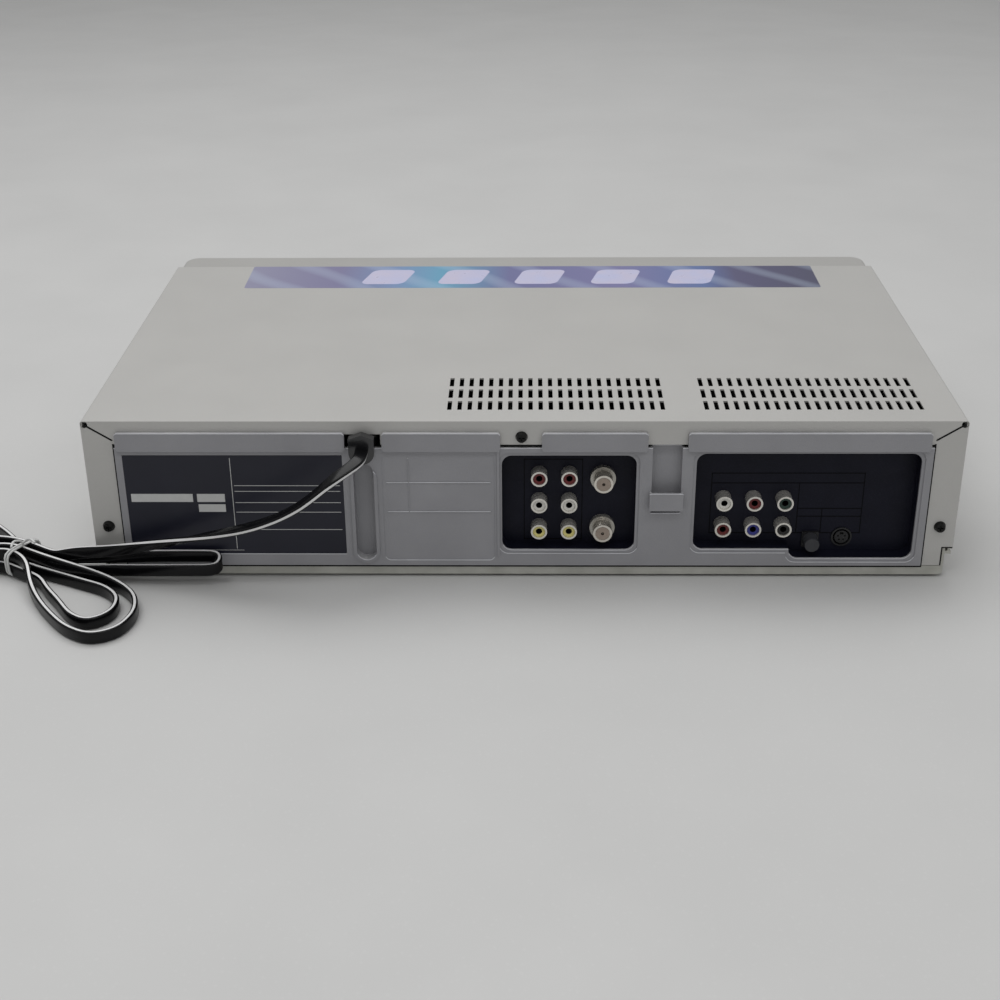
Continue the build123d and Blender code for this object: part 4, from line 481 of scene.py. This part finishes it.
# oval section with slightly crowned edges and a shallow groove between its two cores
CORNER, CROWN, GROOVE = 1.0, 0.06, 0.18
half_wide, half_thick = CORD_WIDTH / 2, CORD_THICK / 2
quarter = []
for step in range(4):
    angle = radians(6 + 26 * step)
    quarter.append((half_thick - CORNER * (1 - cos(angle)), half_wide - CORNER * (1 - sin(angle))))
quarter.append((0.0, half_wide + CROWN))
profile = quarter + [(-a, b) for a, b in quarter[-2::-1]] + [(-half_thick + GROOVE, 0.0)]
profile += [(-a, -b) for a, b in quarter] + [(a, -b) for a, b in quarter[-2::-1]]
profile.append((half_thick - GROOVE, 0.0))
cord = add("mains_cord", *swept(path, profile, sides), vinyl, smooth=True)
# painted highlight: a pale line along the upper edge of the whole lead stands in for the sheen on its
# glossy edge
cord.data.materials.append(cord_highlight)
count = len(profile)
# faces of the upper edge that take the painted highlight
highlight_faces = {len(quarter) - 2, len(quarter) - 1}
for number, face in enumerate(cord.data.polygons[:(len(path) - 1) * count]):
    if number % count in highlight_faces:
        face.material_index = 1
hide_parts("cord_lead", "cord_hank")
# tie: coated wire wound twice round the strands, its ends twisted together on top
tie_middle = Vector((WAIST.x, WAIST.y, 0))
along_bundle, across_bundle = Vector((*bundle, 0)), Vector((*beside, 0))
TIE_RADIUS, TIE_SLACK, TIE_PITCH = 0.6, 1.0, 1.9
half_wide = 1.5 * PITCH_OF_STRANDS + CORD_THICK / 2 + TIE_SLACK
low, high = LOW_Z - CORD_WIDTH / 2 - TIE_RADIUS, HIGH_Z + CORD_WIDTH / 2 + TIE_RADIUS
wire = []
loop = 22
SQUARENESS = 1.35
for step in range(2 * loop + 1):
    angle = -pi / 2 + 2 * pi * step / loop
    x = max(-1, min(1, SQUARENESS * cos(angle))) * half_wide
    z = (low + high) / 2 + max(-1, min(1, SQUARENESS * sin(angle))) * (high - low) / 2
    along = TIE_PITCH * (step / loop - 1)
    wire.append(tie_middle + across_bundle * x + along_bundle * along + Vector((0, 0, z)))
wire = smoothed(wire, 2)


def round_wire(name, points, radius, material):
    """A round wire along the points."""
    circle = [(radius * cos(2 * pi * step / 8), radius * sin(2 * pi * step / 8)) for step in range(8)]
    frames = []
    thick = None
    for index in range(len(points)):
        forward = (points[min(index + 1, len(points) - 1)] - points[max(index - 1, 0)]).normalized()
        if thick is None:
            thick = forward.orthogonal().normalized()
        thick = (thick - forward * thick.dot(forward)).normalized()
        frames.append((thick, forward.cross(thick)))
    verts, faces = swept(points, circle, frames)
    return add(name, verts, faces, material, smooth=True)


tie = round_wire("bundle_tie", wire, TIE_RADIUS, tie_vinyl)
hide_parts("cord_tie")
for side in (-1, 1):
    # across and along the bundle, and above the tie
    tail = [tie_middle + across_bundle * across + along_bundle * along + Vector((0, 0, high + rise))
            for across, along, rise in (
                (side * 0.8, 0.8, -0.4), (-side * 0.8, 1.4, 1.4), (side * 1.6, 2.2 + side, 3.6),
                (side * 3.4 - 3, 5 + 3 * side, 5.4), (side * 5 - 5, 8 + 3 * side, 4.4))]
    round_wire("tie_tail_" + ("left" if side < 0 else "right"), smoothed(rounded_route(tail), 3),
               TIE_RADIUS, tie_vinyl)


# ------------------------------------------------------------------ painted edge highlights
def edge_highlight_lines(name, source, material, half):
    """A thin raised line of pale colour along each outer edge between a rear face and a face that looks up,
    as a painted highlight.
    """
    work = bmesh.new()
    work.from_mesh(nodes[source].data)
    bmesh.ops.remove_doubles(work, verts=work.verts, dist=0.001 * MM)
    work.normal_update()
    verts, faces = [], []
    for edge in work.edges:
        if len(edge.link_faces) != 2 or not edge.is_convex:
            continue
        one, other = (face.normal for face in edge.link_faces)
        if one.angle(other) < radians(40) or max(one.y, other.y) < 0.9 or max(one.z, other.z) < 0.4:
            continue
        start = len(verts)
        for end in edge.verts:
            for a, b in ((1, 1), (1, -1), (-1, -1), (-1, 1)):
                verts.append(end.co / MM + one * (half * a) + other * (half * b))
        for face in ((0, 1, 2, 3), (7, 6, 5, 4), (0, 1, 5, 4), (1, 2, 6, 5), (2, 3, 7, 6), (3, 0, 4, 7)):
            faces.append(tuple(start + index for index in face))
    work.free()
    return add(name, verts, faces, material)


# pale colour painted on the upward edges of the rear panel as highlights
painted_edge_highlight = finish("painted_edge_highlight", tone(205, 206, 211), 0.30, 0.0, (40, 0.08), (2200, 0.15), 0.05)
edge_highlight_lines("panel_edge_highlights", "rear_panel", painted_edge_highlight, 0.16)

# ------------------------------------------------------------------ printed and stuck-on pieces
def slab(x0, x1, low, high, y, depth):
    """Corners and faces of a thin box standing on the rear, heights from the tray's underside."""
    verts = [
        (x, y + back, BASE_Z + h)
        for back in (0.0, depth) for x, h in ((x0, low), (x1, low), (x1, high), (x0, high))
    ]
    faces = [(0, 1, 2, 3), (4, 5, 6, 7), (0, 1, 5, 4), (1, 2, 6, 5), (2, 3, 7, 6), (3, 0, 4, 7)]
    return verts, faces


def joined(name, slabs, material):
    """One piece out of several slabs."""
    verts, faces = [], []
    for part in slabs:
        start = len(verts)
        verts += part[0]
        faces += [tuple(start + index for index in face) for face in part[1]]
    return add(name, verts, faces, material)


PLATE_Y = PANEL_Y - 0.1
RULE, RULE_PROUD, FIELD_PROUD, GAP_PROUD = 0.3, 0.04, 0.05, 0.08
plate_lines = [slab(143.3, 143.6, 15, 65, PLATE_Y, RULE_PROUD)]
for height in (49.9, 46.8, 40.6, 35.3, 25.6):
    plate_lines.append(slab(90.0, 142.3, height, height + RULE, PLATE_Y, RULE_PROUD))
plate_lines.append(slab(140.0, 194.5, 14.0, 14.2, PLATE_Y, RULE_PROUD))
joined("plate_rules", plate_lines, white_print)
# painted shade: dark strips in the gaps round the panel, in the mitres of the flange and at its lower
# corners, where shade falls
panel_sides = [vertex.co.x / MM for vertex in nodes["rear_panel"].data.vertices
               if vertex.co.z / MM < BASE_Z + 60 and vertex.co.y / MM > REAR_Y]
SIDE_LOW, SIDE_HIGH, SIDE_GAP = 4.6, 72.0, 0.9
LIP_LINE = (4.1, 4.9)
joined("sill_shadow", [
    slab(min(panel_sides) - SIDE_GAP, max(panel_sides) + SIDE_GAP, *LIP_LINE, REAR_Y, GAP_PROUD),
    slab(-9.2, 10.6, 70.6, 71.6, REAR_Y, 0.06),
    slab(min(panel_sides) - SIDE_GAP, min(panel_sides), SIDE_LOW, SIDE_HIGH, REAR_Y, GAP_PROUD),
    slab(max(panel_sides), max(panel_sides) + SIDE_GAP, SIDE_LOW, SIDE_HIGH, REAR_Y, GAP_PROUD),
    slab(-210.0, -209.3, 5.2, 15.0, REAR_Y, GAP_PROUD), slab(209.3, 210.0, 5.2, 15.0, REAR_Y, GAP_PROUD),
    slab(-214.8, -209.3, 15.0, 15.6, REAR_Y, GAP_PROUD), slab(209.3, 214.8, 15.0, 15.6, REAR_Y, GAP_PROUD),
], painted_shade)
# painted shade: dark strips along the mitre seams at the rear corners of the cover
MITRE_OUTER, MITRE_INNER, MITRE_HALF = Vector((213.2, 82.2)), Vector((200.4, 74.0)), 0.45
mitres = []
for side in (-1, 1):
    outer = Vector((side * MITRE_OUTER.x, MITRE_OUTER.y))
    inner = Vector((side * MITRE_INNER.x, MITRE_INNER.y))
    off = (outer - inner).orthogonal().normalized() * MITRE_HALF
    corners = (outer + off, outer - off, inner - off, inner + off)
    mitres.append((
        [(place.x, REAR_Y + back, BASE_Z + place.y) for back in (0.0, 0.06) for place in corners],
        [(0, 1, 2, 3), (4, 5, 6, 7), (0, 1, 5, 4), (1, 2, 6, 5), (2, 3, 7, 6), (3, 0, 4, 7)],
    ))
joined("mitre_shadow", mitres, painted_shade)
# raised lines that divide the jack plates
LINE_Y, LINE, LINE_DEPTH = JACK_Y - 0.02, 0.4, 0.14


def frame_lines(x0, x1, low, high):
    return [
        slab(x0, x1, low, low + LINE, LINE_Y, LINE_DEPTH),
        slab(x0, x1, high - LINE, high, LINE_Y, LINE_DEPTH),
        slab(x0, x0 + LINE, low, high, LINE_Y, LINE_DEPTH),
        slab(x1 - LINE, x1, low, high, LINE_Y, LINE_DEPTH),
    ]


joined("jack_plate_lines", frame_lines(-29.9, -0.6, 15.5, 60.2) + frame_lines(-169.8, -93.8, 19.0, 52.6) + [
    slab(-169.4, -94.2, 46.8, 46.8 + LINE, LINE_Y, LINE_DEPTH),
    slab(-137.8, -137.4, 19.4, 46.8, LINE_Y, LINE_DEPTH),
    slab(-169.4, -137.8, 32.7, 32.7 + LINE, LINE_Y, LINE_DEPTH),
    slab(-169.4, -137.8, 28.3, 28.3 + LINE, LINE_Y, LINE_DEPTH),
    slab(-150.0, -149.6, 19.4, 32.7, LINE_Y, LINE_DEPTH),
], plate_line)
# faces of the two aerial sockets
SIDES = 28
for number, row in enumerate(RF_ROWS):
    ring = [(radius * cos(2 * pi * step / SIDES), radius * sin(2 * pi * step / SIDES))
            for radius in (0.8, 3.5) for step in range(SIDES)]
    verts = [(RF_X + x, SOCKET_FACE_Y + 0.03, BASE_Z + row + z) for x, z in ring]
    faces = [(step, (step + 1) % SIDES, SIDES + (step + 1) % SIDES, SIDES + step) for step in range(SIDES)]
    add(f"socket_insulator_{number + 1}", verts, faces, dielectric)

joined("plate_fields", [
    slab(163.3, 193.9, 41.1, 45.5, PLATE_Y, FIELD_PROUD),
    slab(147.4, 161.2, 41.1, 45.5, PLATE_Y, FIELD_PROUD),
    slab(147.4, 160.8, 35.6, 39.8, PLATE_Y, FIELD_PROUD),
], white_print)

# usual symbols over the keys, printed on the front
mark_print = finish("mark_print", tone(70, 71, 74), 0.5, 0.0, (300, 0.05), (3000, 0.05), 0.03)
MARK, MARK_GAP = 2.6, 3.6


def mark(name, key, shapes):
    """Flat symbol over a key; each shape lists (x, z) corners in units of MARK, x to the reader's right."""
    spots = [vertex.co / MM for vertex in nodes[key].data.vertices]
    middle = (min(spot.x for spot in spots) + max(spot.x for spot in spots)) / 2
    height = max(spot.z for spot in spots) + MARK_GAP
    verts, faces = [], []
    for shape in shapes:
        start, count = len(verts), len(shape)
        for back in (0.05, -0.03):
            verts += [(middle + x * MARK, FRONT_Y + back, height + z * MARK) for x, z in shape]
        faces += [tuple(range(start, start + count)), tuple(range(start + count, start + 2 * count))]
        faces += [(start + i, start + (i + 1) % count, start + count + (i + 1) % count, start + count + i)
                  for i in range(count)]
    add(name, verts, faces, mark_print)


triangle = [(-0.4, -0.5), (0.5, 0.0), (-0.4, 0.5)]
square = [(-0.45, -0.45), (0.45, -0.45), (0.45, 0.45), (-0.45, 0.45)]
eject_signs = [
    [(-0.5, -0.05), (0.5, -0.05), (0.0, 0.5)],
    [(-0.5, -0.45), (0.5, -0.45), (0.5, -0.22), (-0.5, -0.22)],
]
ring = [(0.5 * cos(radians(a)), 0.5 * sin(radians(a))) for a in range(-235, 56, 15)]
ring += [(0.36 * cos(radians(a)), 0.36 * sin(radians(a))) for a in range(55, -236, -15)]
mark("mark_power", "power_button", [ring, [(-0.07, 0.1), (0.07, 0.1), (0.07, 0.6), (-0.07, 0.6)]])
for deck in ("disc", "tape"):
    mark(f"mark_{deck}_eject", f"{deck}_eject_button", eject_signs)
    mark(f"mark_{deck}_play", f"{deck}_play_button", [triangle])
    mark(f"mark_{deck}_stop", f"{deck}_stop_button", [square])

# promotional film on the cover: a cool band with slanted light streaks and pale squares
FILM_X0, FILM_X1, FILM_Y0, FILM_Y1 = -177.0, 167.0, JOINT_Y - 0.2, -69.2
FILM_THICK, SQUARE_THICK = 0.05, 0.02
SQUARES, SQUARE_FIRST, SQUARE_STEP, SQUARE_HALF, SQUARE_MARGIN = 5, 82.0, 46.0, 13.0, 7.0


def ramp_finish(name, stops, rough):
    """Film whose colour runs along X through the stops, with slanted streaks of light."""
    material = bpy.data.materials.new(name)
    material.use_nodes = True
    tree = material.node_tree
    shader = tree.nodes["Principled BSDF"]
    shader.inputs["Roughness"].default_value = rough
    place = tree.nodes.new("ShaderNodeTexCoord").outputs["Object"]
    split = tree.nodes.new("ShaderNodeSeparateXYZ")
    tree.links.new(place, split.inputs["Vector"])
    along = tree.nodes.new("ShaderNodeMapRange")
    along.inputs["From Min"].default_value = FILM_X1 * MM
    along.inputs["From Max"].default_value = FILM_X0 * MM
    tree.links.new(split.outputs["X"], along.inputs["Value"])
    ramp = tree.nodes.new("ShaderNodeValToRGB")
    while len(ramp.color_ramp.elements) < len(stops):
        ramp.color_ramp.elements.new(0.5)
    for element, (position, colour) in zip(ramp.color_ramp.elements, stops):
        element.position = position
        element.color = colour
    tree.links.new(along.outputs["Result"], ramp.inputs["Fac"])
    wave = tree.nodes.new("ShaderNodeTexWave")
    wave.bands_direction = "DIAGONAL"
    wave.inputs["Scale"].default_value = 14.0
    wave.inputs["Distortion"].default_value = 1.5
    wave.inputs["Detail"].default_value = 1.0
    tree.links.new(place, wave.inputs["Vector"])
    faint = tree.nodes.new("ShaderNodeMapRange")
    faint.inputs["From Min"].default_value = 0.55
    faint.inputs["To Max"].default_value = 0.22
    tree.links.new(wave.outputs["Fac"], faint.inputs["Value"])
    streaks = tree.nodes.new("ShaderNodeMix")
    streaks.data_type = "RGBA"
    colours = [socket for socket in streaks.inputs if socket.type == "RGBA"]
    colours[1].default_value = tone(190, 205, 226)
    tree.links.new(faint.outputs["Result"], streaks.inputs["Factor"])
    tree.links.new(ramp.outputs["Color"], colours[0])
    tree.links.new([out for out in streaks.outputs if out.type == "RGBA"][0], shader.inputs["Base Color"])
    grain = tree.nodes.new("ShaderNodeTexNoise")
    grain.inputs["Scale"].default_value = 900.0
    tree.links.new(place, grain.inputs["Vector"])
    bump = tree.nodes.new("ShaderNodeBump")
    bump.inputs["Strength"].default_value = 0.04
    bump.inputs["Distance"].default_value = 0.0003
    tree.links.new(grain.outputs["Fac"], bump.inputs["Height"])
    tree.links.new(bump.outputs["Normal"], shader.inputs["Normal"])
    return material


film_colours = ramp_finish("film_band", [
    (0.0, tone(140, 139, 164)), (0.16, tone(122, 119, 154)), (0.26, tone(118, 142, 182)),
    (0.34, tone(98, 158, 188)), (0.46, tone(106, 108, 152)), (0.66, tone(118, 116, 160)),
    (0.80, tone(90, 110, 160)), (0.86, tone(80, 78, 112)), (1.0, tone(68, 68, 94)),
], 0.30)
film_pale = finish("film_pale", tone(202, 196, 218), 0.30, 0.0, (60, 0.05), (900, 0.04), 0.03,
                   second=tone(186, 190, 222))


def round_slab(name, x0, x1, y0, y1, radius, low, thick, material, slant=0.0):
    """Flat piece with round corners lying on the cover; slant leans its ends, mm per mm of depth."""
    outline = []
    for cx, cy, start in ((x1 - radius, y1 - radius, 0), (x0 + radius, y1 - radius, 90),
                          (x0 + radius, y0 + radius, 180), (x1 - radius, y0 + radius, 270)):
        for step in range(7):
            angle = radians(start + 15 * step)
            x, y = cx + radius * cos(angle), cy + radius * sin(angle)
            outline.append((x + slant * (y - (y0 + y1) / 2), y))
    count = len(outline)
    verts = [(x, y, z) for z in (low, low + thick) for x, y in outline]
    faces = [tuple(range(count)), tuple(range(count, 2 * count))]
    faces += [(i, (i + 1) % count, count + (i + 1) % count, count + i) for i in range(count)]
    return add(name, verts, faces, material)


round_slab("cover_film", FILM_X0, FILM_X1, FILM_Y0, FILM_Y1, 1.5, COVER_TOP, FILM_THICK, film_colours)
for number in range(SQUARES):
    middle = SQUARE_FIRST - SQUARE_STEP * number
    round_slab(f"film_square_{number + 1}", middle - SQUARE_HALF, middle + SQUARE_HALF,
               FILM_Y0 + SQUARE_MARGIN, FILM_Y1 - SQUARE_MARGIN, 5.0, COVER_TOP + FILM_THICK, SQUARE_THICK,
               film_pale, slant=0.25)

# ------------------------------------------------------------------ floor and light
bpy.ops.mesh.primitive_plane_add(size=8.0, location=(0, 0, 0))
floor = bpy.context.object
floor.name = "floor"
coat(floor, finish("floor", tone(198, 198, 197), 0.55, 0.0, (9, 0.022), (60, 0.10), 0.05,
                   specks=(260, tone(220, 220, 219), 0.10)))
world = bpy.data.worlds.new("world")
bpy.context.scene.world = world
world.use_nodes = True
sky = world.node_tree
sky.nodes["Background"].inputs["Color"].default_value = (1.0, 1.0, 1.0, 1.0)
sky.nodes["Background"].inputs["Strength"].default_value = 0.34
backdrop = sky.nodes.new("ShaderNodeBackground")
backdrop.inputs["Color"].default_value = tone(205, 205, 204)
rays = sky.nodes.new("ShaderNodeLightPath")
either = sky.nodes.new("ShaderNodeMixShader")
sky.links.new(rays.outputs["Is Camera Ray"], either.inputs["Fac"])
sky.links.new(sky.nodes["Background"].outputs["Background"], either.inputs[1])
sky.links.new(backdrop.outputs["Background"], either.inputs[2])
sky.links.new(either.outputs["Shader"], sky.nodes["World Output"].inputs["Surface"])


def lamp(name, place, aim, size, power):
    data = bpy.data.lights.new(name, "AREA")
    data.shape = "RECTANGLE"
    data.size, data.size_y = size
    data.energy = power
    obj = bpy.data.objects.new(name, data)
    bpy.context.collection.objects.link(obj)
    obj.location = place
    obj.rotation_euler = (Vector(aim) - Vector(place)).to_track_quat("-Z", "Y").to_euler()


lamp("key", (0.35, -0.45, 1.75), (0, 0, 0), (2.0, 1.3), 20.0)
lamp("strip", (-0.1, 0.85, 1.6), (0, 0.1, 0.03), (2.2, 0.25), 6.5)
lamp("fill", (-0.9, 1.3, 1.0), (0, 0.1, 0), (1.0, 0.7), 1.5)
